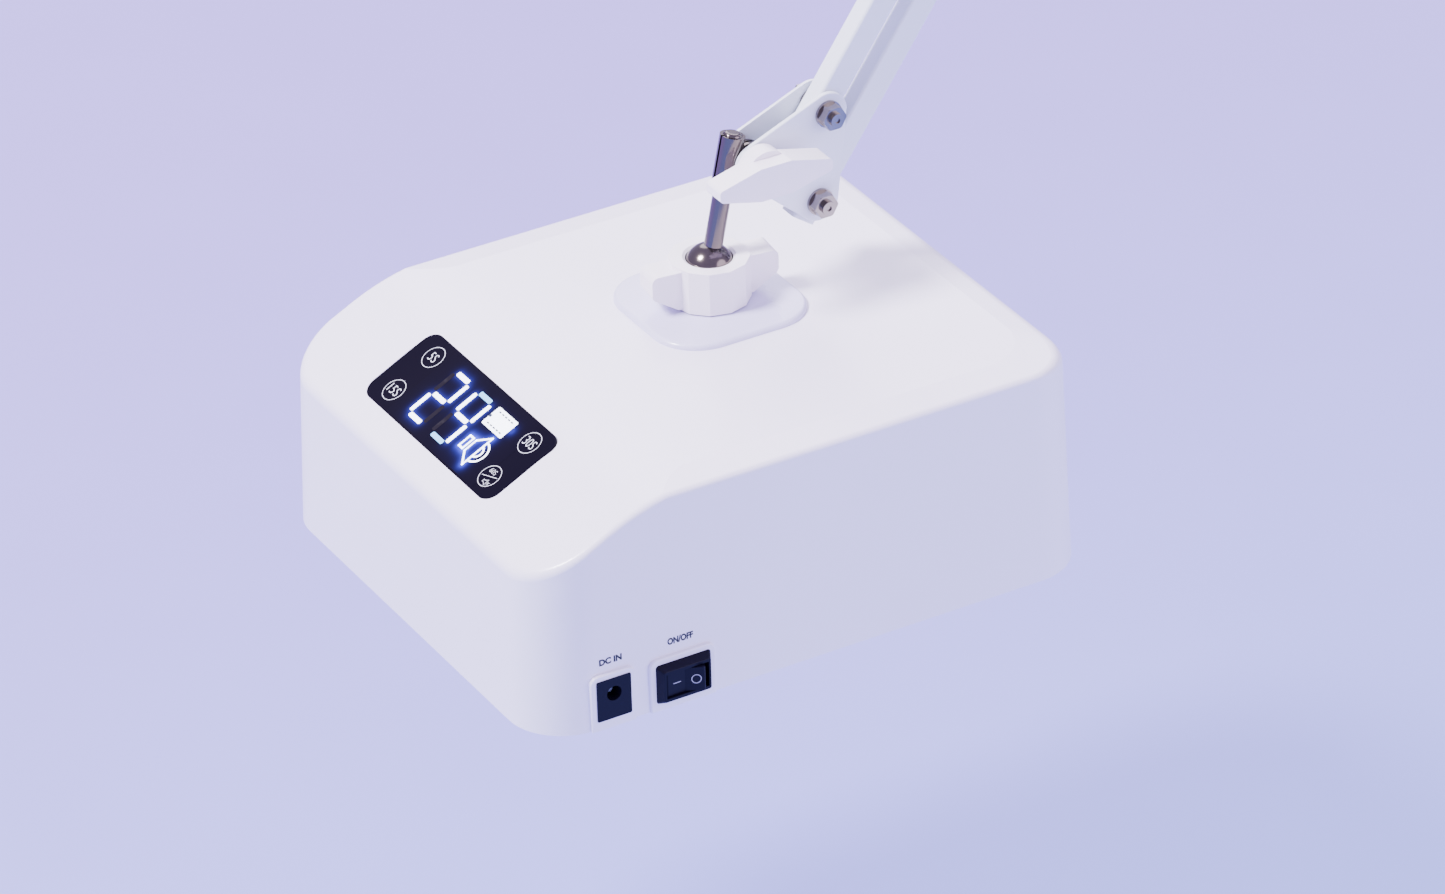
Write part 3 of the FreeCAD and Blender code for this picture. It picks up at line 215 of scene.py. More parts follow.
@dataclass(frozen=True)
class Finish:
    """One surface finish and how to make its material."""

    name: str
    colour: Colour
    roughness: float
    metallic: float = 0.0
    grain: Grain = Grain.SMOOTH
    coat: float = 0.0
    dust: float = 0.03
    smudge: float = 0.05
    specular: float = 0.5
    glow: float = 0.0
    subsurface: float = 0.0

    def material(self, effects: Effects) -> bpy.types.Material:
        """Make the material.

        Args:
            effects: the shared node groups.

        Returns:
            A procedural material on object coordinates.
        """
        made = bpy.data.materials.new(self.name)
        made.use_nodes = True
        made.diffuse_color = (*self.colour, 1.0)
        tree = made.node_tree
        shader = tree.nodes["Principled BSDF"]
        size = GRAINS[self.grain]
        place = tree.nodes.new("ShaderNodeTexCoord")
        mapping = tree.nodes.new("ShaderNodeMapping")
        mapping.inputs["Scale"].default_value = size.stretch
        tree.links.new(place.outputs["Object"], mapping.inputs["Vector"])
        grain = self._use(tree, effects.grain, mapping.outputs["Vector"])
        grain.inputs["Scale"].default_value = size.scale
        dust = self._use(tree, effects.dust, place.outputs["Object"])
        tree.links.new(place.outputs["Normal"], dust.inputs["Normal"])
        smudge = self._use(tree, effects.smudge, place.outputs["Object"])
        self._colour(tree, shader, grain.outputs["Tone"], dust.outputs["Mask"], size)
        self._gloss(tree, shader, grain.outputs["Tone"], smudge.outputs["Mask"], size)
        self._relief(tree, shader, grain.outputs["Height"], size)
        shader.inputs["Metallic"].default_value = self.metallic
        shader.inputs["Coat Weight"].default_value = self.coat
        shader.inputs["Coat Roughness"].default_value = COAT_ROUGHNESS
        shader.inputs["Specular IOR Level"].default_value = self.specular
        if self.subsurface:
            shader.inputs["Subsurface Weight"].default_value = self.subsurface
            shader.inputs["Subsurface Radius"].default_value = DEPTH_TINT
            shader.inputs["Subsurface Scale"].default_value = DEPTH_SCALE
        if self.glow:
            shader.inputs["Emission Color"].default_value = (*self.colour, 1.0)
            shader.inputs["Emission Strength"].default_value = self.glow
        return made

    @staticmethod
    def _use(tree: Tree, group: Tree, vector: Socket) -> bpy.types.Node:
        """Add a shared group fed with a vector."""
        node = tree.nodes.new("ShaderNodeGroup")
        node.node_tree = group
        tree.links.new(vector, node.inputs["Vector"])
        return node

    def _colour(self, tree: Tree, shader: bpy.types.Node, tone: Socket,
                dust: Socket, size: GrainSize) -> None:
        """Link the base colour: the plain colour, varied a little, with thin dust over it.

        Args:
            tree: the material's nodes.
            shader: its shader.
            tone: variation of the tone.
            dust: mask of the dust.
            size: the texture's figures.
        """
        lighter = tuple(min(1.0, c * (1.0 + size.tone) + 0.2 * size.tone) for c in self.colour)
        darker = tuple(c * (1.0 - size.tone) for c in self.colour)
        vary = tree.nodes.new("ShaderNodeMix")
        vary.data_type = "RGBA"
        vary.inputs["A"].default_value = (*darker, 1.0)
        vary.inputs["B"].default_value = (*lighter, 1.0)
        half = tree.nodes.new("ShaderNodeMapRange")
        half.inputs["From Min"].default_value = -1.0
        tree.links.new(tone, half.inputs["Value"])
        tree.links.new(half.outputs["Result"], vary.inputs["Factor"])
        veil = tree.nodes.new("ShaderNodeMix")
        veil.data_type = "RGBA"
        veil.inputs["B"].default_value = DUST_COLOUR
        thin = tree.nodes.new("ShaderNodeMath")
        thin.operation = "MULTIPLY"
        thin.inputs[1].default_value = self.dust
        tree.links.new(dust, thin.inputs[0])
        tree.links.new(thin.outputs["Value"], veil.inputs["Factor"])
        tree.links.new(vary.outputs["Result"], veil.inputs["A"])
        tree.links.new(veil.outputs["Result"], shader.inputs["Base Color"])

    def _gloss(self, tree: Tree, shader: bpy.types.Node, tone: Socket,
               smudge: Socket, size: GrainSize) -> None:
        """Link the roughness: the plain value with uneven patches.

        Args:
            tree: the material's nodes.
            shader: its shader.
            tone: variation of the tone.
            smudge: mask of the handling marks.
            size: the texture's figures.
        """
        patches = tree.nodes.new("ShaderNodeMath")
        patches.operation = "MULTIPLY_ADD"
        patches.inputs[1].default_value = self.smudge
        patches.inputs[2].default_value = self.roughness
        tree.links.new(smudge, patches.inputs[0])
        vary = tree.nodes.new("ShaderNodeMath")
        vary.operation = "MULTIPLY_ADD"
        vary.use_clamp = True
        vary.inputs[1].default_value = size.gloss_change * 0.5
        tree.links.new(tone, vary.inputs[0])
        tree.links.new(patches.outputs["Value"], vary.inputs[2])
        tree.links.new(vary.outputs["Value"], shader.inputs["Roughness"])

    @staticmethod
    def _relief(tree: Tree, shader: bpy.types.Node, height: Socket,
                size: GrainSize) -> None:
        """Link the fine relief to the shader's normal."""
        bump = tree.nodes.new("ShaderNodeBump")
        bump.inputs["Strength"].default_value = size.height
        bump.inputs["Distance"].default_value = RELIEF_DEPTH
        tree.links.new(height, bump.inputs["Height"])
        tree.links.new(bump.outputs["Normal"], shader.inputs["Normal"])


class Look(Enum):
    """Every finish on the object."""

    SHELL = Finish("shell_white", (0.870, 0.820, 0.970), 0.30, grain=Grain.MOULDED, dust=0.01, coat=0.12,
                   subsurface=0.05)
    PLASTIC = Finish("part_white", (0.920, 0.860, 0.950), 0.32, grain=Grain.MOULDED, dust=0.02)
    PLATE = Finish("plate_white", (0.64, 0.60, 0.86), 0.26, grain=Grain.PAINTED, coat=0.2, dust=0.02)
    PAINT = Finish("arm_paint", (0.76, 0.79, 0.88), 0.30, grain=Grain.PAINTED, coat=0.15, dust=0.03)
    # The two metal colours below are partly the metal's own tone and partly painted dark reflection: darkened
    # and browned to stand in for the dark surroundings the metal would reflect.
    DARK_CHROME_AND_PAINTED_REFLECTION = Finish("dark_nickel", (0.14, 0.118, 0.112), 0.15, 1.0, Grain.SMOOTH, smudge=0.06)
    NICKEL_AND_PAINTED_REFLECTION = Finish("nickel_steel", (0.27, 0.245, 0.235), 0.19, 1.0, Grain.BRUSHED)
    STEEL = Finish("spring_wire", (0.36, 0.35, 0.36), 0.26, 1.0, Grain.SMOOTH)
    GLASS = Finish("window_black", (0.004, 0.003, 0.008), 0.14, grain=Grain.SMOOTH, coat=0.0, dust=0.0,
                   smudge=0.02, specular=0.03)
    TRAY = Finish("tray_white", (0.86, 0.86, 0.88), 0.22, grain=Grain.SMOOTH, dust=0.0, coat=0.3)
    BOARD_WHITE = Finish("led_board", (0.80, 0.81, 0.81), 0.45, grain=Grain.PAINTED)
    LENS = Finish("lens_violet", (0.42, 0.34, 0.62), 0.10, grain=Grain.SMOOTH, coat=0.8)
    BOARD_GREEN = Finish("solder_mask", (0.012, 0.13, 0.06), 0.35, grain=Grain.PAINTED, coat=0.3)
    GREY = Finish("display_grey", (0.20, 0.20, 0.22), 0.55, grain=Grain.MOULDED)
    SWITCH = Finish("switch_black", (0.004, 0.003, 0.012), 0.34, grain=Grain.MOULDED, dust=0.0, specular=0.11)
    BLACK = Finish("plain_black", (0.020, 0.020, 0.022), 0.48, grain=Grain.MOULDED)
    WRAP = Finish("cell_wrap", (0.03, 0.10, 0.36), 0.28, grain=Grain.SMOOTH, coat=0.4)
    BRASS = Finish("brass", (0.70, 0.50, 0.22), 0.28, 1.0, Grain.BRUSHED)
    RUBBER = Finish("pad_rubber", (0.015, 0.015, 0.016), 0.78, grain=Grain.RUBBER, dust=0.08)
    BUSH = Finish("bush_grey", (0.055, 0.055, 0.060), 0.50, grain=Grain.MOULDED)
    PIN = Finish("inlet_pin", (0.30, 0.29, 0.30), 0.22, 1.0, Grain.SMOOTH)
    SEAT = Finish("seat_acetal", (0.70, 0.70, 0.66), 0.40, grain=Grain.MOULDED)
    INK = Finish("print_black", (0.012, 0.012, 0.016), 0.50, grain=Grain.SMOOTH)
    PRINT_WHITE = Finish("print_white", (0.60, 0.61, 0.68), 0.45, grain=Grain.SMOOTH)
    PRINT_GREY = Finish("print_grey", (0.34, 0.34, 0.42), 0.50, grain=Grain.SMOOTH)
    LIT = Finish("segment_lit", (0.86, 0.92, 1.0), 0.30, grain=Grain.SMOOTH, glow=4.0)
    DIM = Finish("segment_dim", (0.20, 0.55, 0.88), 0.30, grain=Grain.SMOOTH, glow=0.6)
    MARK = Finish("cell_mark", (0.02, 0.03, 0.06), 0.40, grain=Grain.SMOOTH)
    GHOST = Finish("segment_off", (0.009, 0.007, 0.012), 0.30, grain=Grain.SMOOTH, specular=0.06)


class Wardrobe:
    """Makes each material once and puts it on meshes."""

    def __init__(self) -> None:
        """Make the shared groups."""
        self.effects = Effects()
        self._made: dict[Look, bpy.types.Material] = {}

    def get(self, look: Look) -> bpy.types.Material:
        """The material of a look, made on first use."""
        if look not in self._made:
            self._made[look] = look.value.material(self.effects)
        return self._made[look]

    def put_on(self, piece: bpy.types.Object, look: Look) -> None:
        """Dress a whole mesh in one look."""
        piece.data.materials.clear()
        piece.data.materials.append(self.get(look))


# ---------------------------------------------------------------- mesh helpers
def smooth(piece: bpy.types.Object) -> None:
    """Shade a mesh smooth with sharp edges kept."""
    for face in piece.data.polygons:
        face.use_smooth = True
    piece.data.set_sharp_from_angle(angle=SMOOTH_ANGLE)


def piece_from(name: str, mesh: bmesh.types.BMesh) -> bpy.types.Object:
    """Turn a bmesh into a linked, smooth object at the origin.

    Args:
        name: name of the object and its mesh.
        mesh: the shape, in the row's frame; it is freed.

    Returns:
        The new object.
    """
    data = bpy.data.meshes.new(name)
    mesh.to_mesh(data)
    mesh.free()
    made = bpy.data.objects.new(name, data)
    bpy.context.scene.collection.objects.link(made)
    smooth(made)
    return made


def centre_of(node: str) -> Vector:
    """Middle of a CAD node's box."""
    low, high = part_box(node)
    return (low + high) / 2


def joint_place(name: str) -> Vector:
    """Where a joint of the record is."""
    found = next(j for j in frame["joints"] if j["name"] == name)
    return Vector(found["pos_m"])


def add_pill(mesh: bmesh.types.BMesh, width: float, height: float, radius: float, place: Matrix,
             segments: int = 16) -> None:
    """Add a flat rounded rectangle about the origin of place.

    Args:
        mesh: where to add it.
        width: size along the local X.
        height: size along the local Y.
        radius: corner radius.
        place: where it goes.
        segments: corner points of the full circle, a multiple of four.
    """
    turned = Matrix.Rotation(math.pi / segments, 4, "Z")
    made = bmesh.ops.create_circle(mesh, cap_ends=True, segments=segments, radius=radius, matrix=turned)
    for vert in made["verts"]:
        vert.co.x += math.copysign(width / 2 - radius, vert.co.x)
        vert.co.y += math.copysign(height / 2 - radius, vert.co.y)
    bmesh.ops.transform(mesh, matrix=place, verts=made["verts"])


def add_arc(mesh: bmesh.types.BMesh, radius: float, stroke: float, start: float, sweep: float,
            place: Matrix, steps: int = 24) -> None:
    """Add a flat band along an arc about the origin of place, by spinning its radial edge.

    Args:
        mesh: where to add it.
        radius: radius of the band's middle line.
        stroke: width of the band.
        start: angle where it starts.
        sweep: angle that it covers.
        place: where it goes.
        steps: number of flats round it.
    """
    ends = [mesh.verts.new(Matrix.Rotation(start, 4, "Z") @ Vector((radius + side * stroke / 2, 0, 0)))
            for side in (-1, 1)]
    edge = mesh.edges.new(ends)
    full = abs(sweep - 2 * math.pi) < 1e-6
    before = set(mesh.verts) - set(ends)
    bmesh.ops.spin(mesh, geom=[*ends, edge], cent=(0, 0, 0), axis=(0, 0, 1), angle=sweep, steps=steps,
                   use_merge=full)
    bmesh.ops.transform(mesh, matrix=place, verts=[v for v in mesh.verts if v not in before])


def add_stroke(mesh: bmesh.types.BMesh, start: Point2, end: Point2, width: float, place: Matrix) -> None:
    """Add a flat line with round ends between two points.

    Args:
        mesh: where to add it.
        start: one end.
        end: the other end.
        width: width of the line.
        place: where the plane of the points goes.
    """
    along = Vector(end) - Vector(start)
    middle = (Vector(start) + Vector(end)) / 2
    turn = Matrix.Rotation(math.atan2(along.y, along.x), 4, "Z")
    local = Matrix.Translation((middle.x, middle.y, 0)) @ turn
    add_pill(mesh, along.length + width, width, width / 2 * 0.999, place @ local, 12)


def add_text(mesh: bmesh.types.BMesh, words: str, cap_height: float, width: float, bold: float,
             place: Matrix) -> None:
    """Add flat lettering, centred on the origin of place.

    Args:
        mesh: where to add it.
        words: the lettering.
        cap_height: height of a capital letter.
        width: full length of the lettering, or 0 to keep the font's own.
        bold: how much each stroke is thickened, as a share of the letter's height.
        place: where it goes.
    """
    curve = bpy.data.curves.new("lettering", "FONT")
    curve.body = words
    curve.offset = bold
    curve.resolution_u = 6
    holder = bpy.data.objects.new("lettering", curve)
    bpy.context.scene.collection.objects.link(holder)
    bpy.context.view_layer.update()
    flat = bpy.data.meshes.new_from_object(holder.evaluated_get(bpy.context.evaluated_depsgraph_get()))
    bpy.data.objects.remove(holder)
    bpy.data.curves.remove(curve)
    before = set(mesh.verts)
    mesh.from_mesh(flat)
    bpy.data.meshes.remove(flat)
    fresh = [v for v in mesh.verts if v not in before]
    low = Vector((min(v.co.x for v in fresh), min(v.co.y for v in fresh), 0))
    high = Vector((max(v.co.x for v in fresh), max(v.co.y for v in fresh), 0))
    tall = cap_height / (high.y - low.y)
    wide = width / (high.x - low.x) if width else tall
    fit = Matrix.Diagonal((wide, tall, 1, 1)) @ Matrix.Translation(-(low + high) / 2)
    bmesh.ops.transform(mesh, matrix=place @ fit, verts=fresh)


# ---------------------------------------------------------------- lamp
@dataclass
class LampShell:
    """White housing with its printed legends."""

    half_width: float = 92.5 * MM
    lean: float = 0.022
    legend_y: float = -54.0 * MM
    legend_z: float = 24.6 * MM
    inlet_y: float = -80.5 * MM
    inlet_z: float = 25.1 * MM
    print_gap: float = 0.05 * MM
    bold: float = 0.05

    def middle(self) -> Vector:
        """Middle of the lamp's footprint at its bottom edge."""
        centre = centre_of("bottom_frame")
        return Vector((centre.x, centre.y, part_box("housing")[0].z))

    def wall_place(self, y: float, z: float) -> Matrix:
        """Placement on the switch side's wall: local X to the back, local Y up, local Z outwards."""
        spot = self.middle() + Vector((self.half_width - self.lean * z + self.print_gap, y, z))
        turn = Matrix(((0, -self.lean, 1), (1, 0, 0), (0, 1, self.lean))).to_4x4()
        return Matrix.Translation(spot) @ turn

    def build(self, wardrobe: Wardrobe) -> None:
        """Print the legends on the shell and dress them.

        Args:
            wardrobe: gives the materials.
        """
        mesh = bmesh.new()
        add_text(mesh, "ON/OFF", 2.6 * MM, 9.8 * MM, self.bold, self.wall_place(self.legend_y, self.legend_z))
        add_text(mesh, "DC IN", 2.5 * MM, 8.6 * MM, self.bold, self.wall_place(self.inlet_y, self.inlet_z))
        legends = piece_from("side_legends", mesh)
        wardrobe.put_on(legends, Look.INK)
        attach(legends, "lamp")
        log.info("side_legends")


# Speaker icon and touch keys, in millimetres on the window's face from its middle.
SPEAKER_MAGNET = ((11.6, -2.8), (14.0, -2.8), (14.0, -7.9), (11.6, -7.9))
SPEAKER_CONE = ((15.6, -2.8), (20.4, 1.4), (20.4, -12.0), (15.6, -7.9))
SPEAKER_WAVES = (2.3, 4.4)
MUTED_SPEAKER = ((-0.6, -2.0), (0.3, -2.0), (1.4, -1.2), (1.4, -3.6), (0.3, -2.9), (-0.6, -2.9))
MUTE_CROSS = (((1.9, -1.9), (2.8, -2.9)), ((2.8, -1.9), (1.9, -2.9)))
TOUCH_KEYS = ((-33.2, 8.7, "5S"), (-33.2, -8.7, "15S"), (34.3, 8.7, "30S"), (34.3, -8.7, "60S"))
MUTE_KEY = "60S"


def in_metres(points: Sequence[Point2]) -> list[Point2]:
    """Points given in millimetres, in metres."""
    return [(x * MM, y * MM) for x, y in points]


def closed_lines(corners: Sequence[Point2]) -> list[Line2]:
    """The sides of a closed outline."""
    return list(zip(corners, [*corners[1:], corners[0]]))


@dataclass
class DisplayWindow:
    """Black window with lit digits, icons and touch keys."""

    slope: float = math.radians(26.694)
    thickness: float = 1.5 * MM
    lift: float = 0.04 * MM
    digit_half: float = 4.85 * MM
    segment_width: float = 2.0 * MM
    bar_length: float = 7.7 * MM
    post_length: float = 8.8 * MM
    digit_rows: tuple[float, float, float] = (10.2 * MM, -0.4 * MM, -11.0 * MM)
    tens: float = -14.3 * MM
    units: float = 1.4 * MM
    battery_size: Point2 = (13.2 * MM, 8.2 * MM)
    battery_middle: Point2 = (16.3 * MM, 7.1 * MM)
    speaker_middle: Point2 = (20.4 * MM, -5.3 * MM)
    speaker_stroke: float = 0.85 * MM
    wave_stroke: float = 0.8 * MM
    wave_sweep: float = math.radians(168)
    key_radius: float = 4.45 * MM
    key_stroke: float = 0.25 * MM
    key_letters: float = 3.6 * MM
    letter_pitch: float = 1.95 * MM
    letter_bold: float = -0.008
    mute_stroke: float = 0.22 * MM
    glow_cells: tuple[int, int] = (150, 78)
    glow_size: Point2 = (60.0 * MM, 31.0 * MM)
    glow_shift: float = 2.5 * MM
    glow_power: float = 0.75
    glow_level: int = 1
    key_level: int = 2
    lit_level: int = 3
    mark_level: int = 5

    def place(self, level: int = 1) -> Matrix:
        """Placement on the window's face: local X across, local Y up the slope, local Z outwards."""
        low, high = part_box("display_window")
        sine, cosine = math.sin(self.slope), math.cos(self.slope)
        spot = Vector(((low.x + high.x) / 2, (low.y + high.y - self.thickness * sine) / 2,
                       (low.z + high.z + self.thickness * cosine) / 2))
        return (Matrix.Translation(spot) @ Matrix.Rotation(self.slope, 4, "X")
                @ Matrix.Translation((0, 0, self.lift * level)))

    def segment_spots(self, middle: float) -> dict[str, Line2]:
        """Ends of the seven segments of the digit whose middle is at local x = middle."""
        top, waist, foot = self.digit_rows
        reach = self.bar_length / 2 - self.segment_width / 2
        upper = (top + waist) / 2
        lower = (waist + foot) / 2
        half = self.post_length / 2 - self.segment_width / 2
        left = middle - self.digit_half
        right = middle + self.digit_half
        return {
            "a": ((middle - reach, top), (middle + reach, top)),
            "g": ((middle - reach, waist), (middle + reach, waist)),
            "d": ((middle - reach, foot), (middle + reach, foot)),
            "f": ((left, upper - half), (left, upper + half)),
            "b": ((right, upper - half), (right, upper + half)),
            "e": ((left, lower - half), (left, lower + half)),
            "c": ((right, lower - half), (right, lower + half)),
        }

    def add_segment(self, mesh: bmesh.types.BMesh, ends: Line2, place: Matrix) -> None:
        """Add one segment with clipped corners."""
        start, end = Vector(ends[0]), Vector(ends[1])
        along = end - start
        turn = Matrix.Translation(((start.x + end.x) / 2, (start.y + end.y) / 2, 0)) @ Matrix.Rotation(
            math.atan2(along.y, along.x), 4, "Z")
        add_pill(mesh, along.length + self.segment_width, self.segment_width, self.segment_width * 0.36,
                 place @ turn, 8)

    def digits(self, wardrobe: Wardrobe) -> list[Line2]:
        """Build the digits.

        Args:
            wardrobe: gives the materials.

        Returns:
            The ends of every lit segment, for the glow.
        """
        shown = (("lit_segments", Look.LIT, ((self.tens, "abged"), (self.units, "fbgc"))),
                 ("dim_segments", Look.DIM, ((self.units, "ad"),)),
                 ("ghost_segments", Look.GHOST, ((self.tens, "fc"), (self.units, "e"))))
        lit: list[Line2] = []
        for name, look, groups in shown:
            mesh = bmesh.new()
            for middle, letters in groups:
                spots = self.segment_spots(middle)
                for letter in letters:
                    self.add_segment(mesh, spots[letter], self.place(self.lit_level))
                    if look is Look.LIT:
                        lit.append(spots[letter])
            made = piece_from(name, mesh)
            wardrobe.put_on(made, look)
            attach(made, "lamp")
            log.info(name)
        return lit

    def icons(self, wardrobe: Wardrobe) -> list[Line2]:
        """Build the battery and speaker icons and return strokes that glow.

        Args:
            wardrobe: gives the materials.

        Returns:
            The ends of every glowing stroke.
        """
        mesh = bmesh.new()
        place = self.place(self.lit_level)
        at_battery = Matrix.Translation((*self.battery_middle, 0))
        add_pill(mesh, *self.battery_size, 0.7 * MM, place @ at_battery, 16)
        strokes = closed_lines(in_metres(SPEAKER_MAGNET)) + closed_lines(in_metres(SPEAKER_CONE))
        for start, end in strokes:
            add_stroke(mesh, start, end, self.speaker_stroke, place)
        at_speaker = place @ Matrix.Translation((*self.speaker_middle, 0))
        start_angle = -self.wave_sweep / 2
        for radius in SPEAKER_WAVES:
            add_arc(mesh, radius * MM, self.wave_stroke, start_angle, self.wave_sweep, at_speaker)
        made = piece_from("display_icons", mesh)
        wardrobe.put_on(made, Look.LIT)
        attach(made, "lamp")
        log.info("display_icons")
        self.battery_marks(wardrobe)
        return strokes + [((12.5 * MM, 7.6 * MM), (23.5 * MM, 7.6 * MM))]

    def battery_marks(self, wardrobe: Wardrobe) -> None:
        """Build the dark notch and dashes on the battery icon."""
        mesh = bmesh.new()
        place = self.place(self.mark_level)
        add_pill(mesh, 1.3 * MM, 1.1 * MM, 0.15 * MM, place @ Matrix.Translation((10.2 * MM, 6.8 * MM, 0)), 8)
        for x, y in ((x, y) for y in (4.4, 9.8) for x in (12.4, 14.4, 16.4, 18.4, 20.4)):
            add_pill(mesh, 1.3 * MM, 0.6 * MM, 0.12 * MM, place @ Matrix.Translation((x * MM, y * MM, 0)), 4)
        made = piece_from("battery_marks", mesh)
        wardrobe.put_on(made, Look.MARK)
        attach(made, "lamp")
        log.info("battery_marks")

    def keys(self, wardrobe: Wardrobe) -> None:
        """Build the four ringed touch keys with their lettering.

        Args:
            wardrobe: gives the materials.
        """
        mesh = bmesh.new()
        for x, y, words in TOUCH_KEYS:
            centre = self.place(self.key_level) @ Matrix.Translation((x * MM, y * MM, 0))
            add_arc(mesh, self.key_radius, self.key_stroke, 0.0, 2 * math.pi, centre, 48)
            if words == MUTE_KEY:
                self.add_mute(mesh, words, centre)
            else:
                wide = self.letter_pitch * len(words)
                add_text(mesh, words, self.key_letters, wide, self.letter_bold, centre)
        made = piece_from("key_prints", mesh)
        wardrobe.put_on(made, Look.PRINT_WHITE)
        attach(made, "lamp")
        log.info("key_prints")

    def add_mute(self, mesh: bmesh.types.BMesh, words: str, centre: Matrix) -> None:
        """Add small lettering, a slash and a muted speaker under it."""
        above = centre @ Matrix.Translation((-0.5 * MM, 2.0 * MM, 0))
        add_text(mesh, words, 1.9 * MM, 3.5 * MM, self.letter_bold, above)
        add_stroke(mesh, (-3.2 * MM, -1.2 * MM), (3.4 * MM, 1.0 * MM), 0.26 * MM, centre)
        lines = closed_lines(in_metres(MUTED_SPEAKER)) + [tuple(in_metres(line)) for line in MUTE_CROSS]
        for start, end in lines:
            add_stroke(mesh, start, end, self.mute_stroke, centre)

    def glow(self, wardrobe: Wardrobe, lit: Sequence[Line2]) -> None:
        """Build the soft light round the lit strokes, as a grid with its own strength attribute.

        Args:
            wardrobe: gives the materials.
            lit: the ends of every lit stroke.
        """
        mesh = bmesh.new()
        across, along = self.glow_cells
        bmesh.ops.create_grid(mesh, x_segments=across, y_segments=along, size=0.5)
        bmesh.ops.scale(mesh, vec=(*self.glow_size, 1), verts=mesh.verts)
        bmesh.ops.translate(mesh, vec=(self.glow_shift, 0, 0), verts=mesh.verts)
        strengths = [self.nearby(vert.co.xy, lit) for vert in mesh.verts]
        bmesh.ops.transform(mesh, matrix=self.place(self.glow_level), verts=mesh.verts)
        made = piece_from("display_glow", mesh)
        attribute = made.data.attributes.new("glow", "FLOAT", "POINT")
        attribute.data.foreach_set("value", strengths)
        made.data.materials.append(self.glow_material(wardrobe))
        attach(made, "lamp")
        log.info("display_glow")

    @staticmethod
    def nearby(spot: Vector, lit: Sequence[Line2]) -> float:
        """Strength of the glow at a point: a bright rim and a faint wide haze round every lit stroke."""
        half_stroke, rim, haze, haze_share = 0.9 * MM, 0.85 * MM, 4.0 * MM, 0.012
        total = 0.0
        for start, end in lit:
            a, b = Vector(start), Vector(end)
            along = b - a
            share = max(0.0, min(1.0, (spot - a).dot(along) / max(along.length_squared, 1e-12)))
            gap = max(0.0, (spot - (a + along * share)).length - half_stroke)
            total += math.exp(-gap / rim) + haze_share * math.exp(-gap / haze)
        return total

    def glow_material(self, wardrobe: Wardrobe) -> bpy.types.Material:
        """Black window material with blue light by the glow attribute."""
        made = wardrobe.get(Look.GLASS).copy()
        made.name = "window_glow"
        tree = made.node_tree
        reader = tree.nodes.new("ShaderNodeAttribute")
        reader.attribute_name = "glow"
        shader = tree.nodes["Principled BSDF"]
        shader.inputs["Emission Color"].default_value = (0.07, 0.09, 1.0, 1.0)
        power = tree.nodes.new("ShaderNodeMath")
        power.operation = "MULTIPLY"
        power.inputs[1].default_value = self.glow_power
        tree.links.new(reader.outputs["Fac"], power.inputs[0])
        tree.links.new(power.outputs["Value"], shader.inputs["Emission Strength"])
        return made

    def build(self, wardrobe: Wardrobe) -> None:
        """Build everything on the window."""
        lit = self.digits(wardrobe) + self.icons(wardrobe)
        self.keys(wardrobe)
        self.glow(wardrobe, lit)


@dataclass
class PowerSwitch:
    """Marks on the rocker: a dash on the pressed half, a ring on the raised one."""

    rocker_tilt: float = math.radians(11.0)
    face_rise: float = math.atan2(1.5, 7.0)
    crest: float = 3.5 * MM
    print_gap: float = 0.05 * MM
    dash_length: float = 2.9 * MM
    dash_width: float = 0.34 * MM
    dash_place: float = 3.0 * MM
    ring_radius: float = 1.6 * MM
    ring_width: float = 0.30 * MM
    ring_place: float = 3.9 * MM

    def face_place(self, side: int, distance: float) -> Matrix:
        """Placement on one rocker face: local X along it to the back, local Y up, local Z outwards.

        Args:
            side: -1 for the front half, 1 for the back half.
            distance: from the crest between the two halves.

        Returns:
            The placement in the row's frame.
        """
        pivot = joint_place("rocker_press")
        tilt = Matrix.Rotation(-self.rocker_tilt, 4, "Z")
        crest = Matrix.Translation((self.crest, 0, 0))
        rise = Matrix.Rotation(-side * self.face_rise, 4, "Z")
        axes = Matrix(((0, 0, 1), (1, 0, 0), (0, 1, 0))).to_4x4()
        step = Matrix.Translation((side * distance, 0, self.print_gap))
        return Matrix.Translation(pivot) @ tilt @ crest @ rise @ axes @ step

    def build(self, wardrobe: Wardrobe) -> None:
        """Build both marks."""
        mesh = bmesh.new()
        dash = self.face_place(-1, self.dash_place)
        ring = self.face_place(1, self.ring_place)
        add_pill(mesh, self.dash_length, self.dash_width, 0.1 * MM, dash, 8)
        add_arc(mesh, self.ring_radius, self.ring_width, 0.0, 2 * math.pi, ring, 32)
        marks = piece_from("rocker_marks", mesh)
        wardrobe.put_on(marks, Look.PRINT_GREY)
        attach(marks, "switch_rocker")
        log.info("rocker_marks")


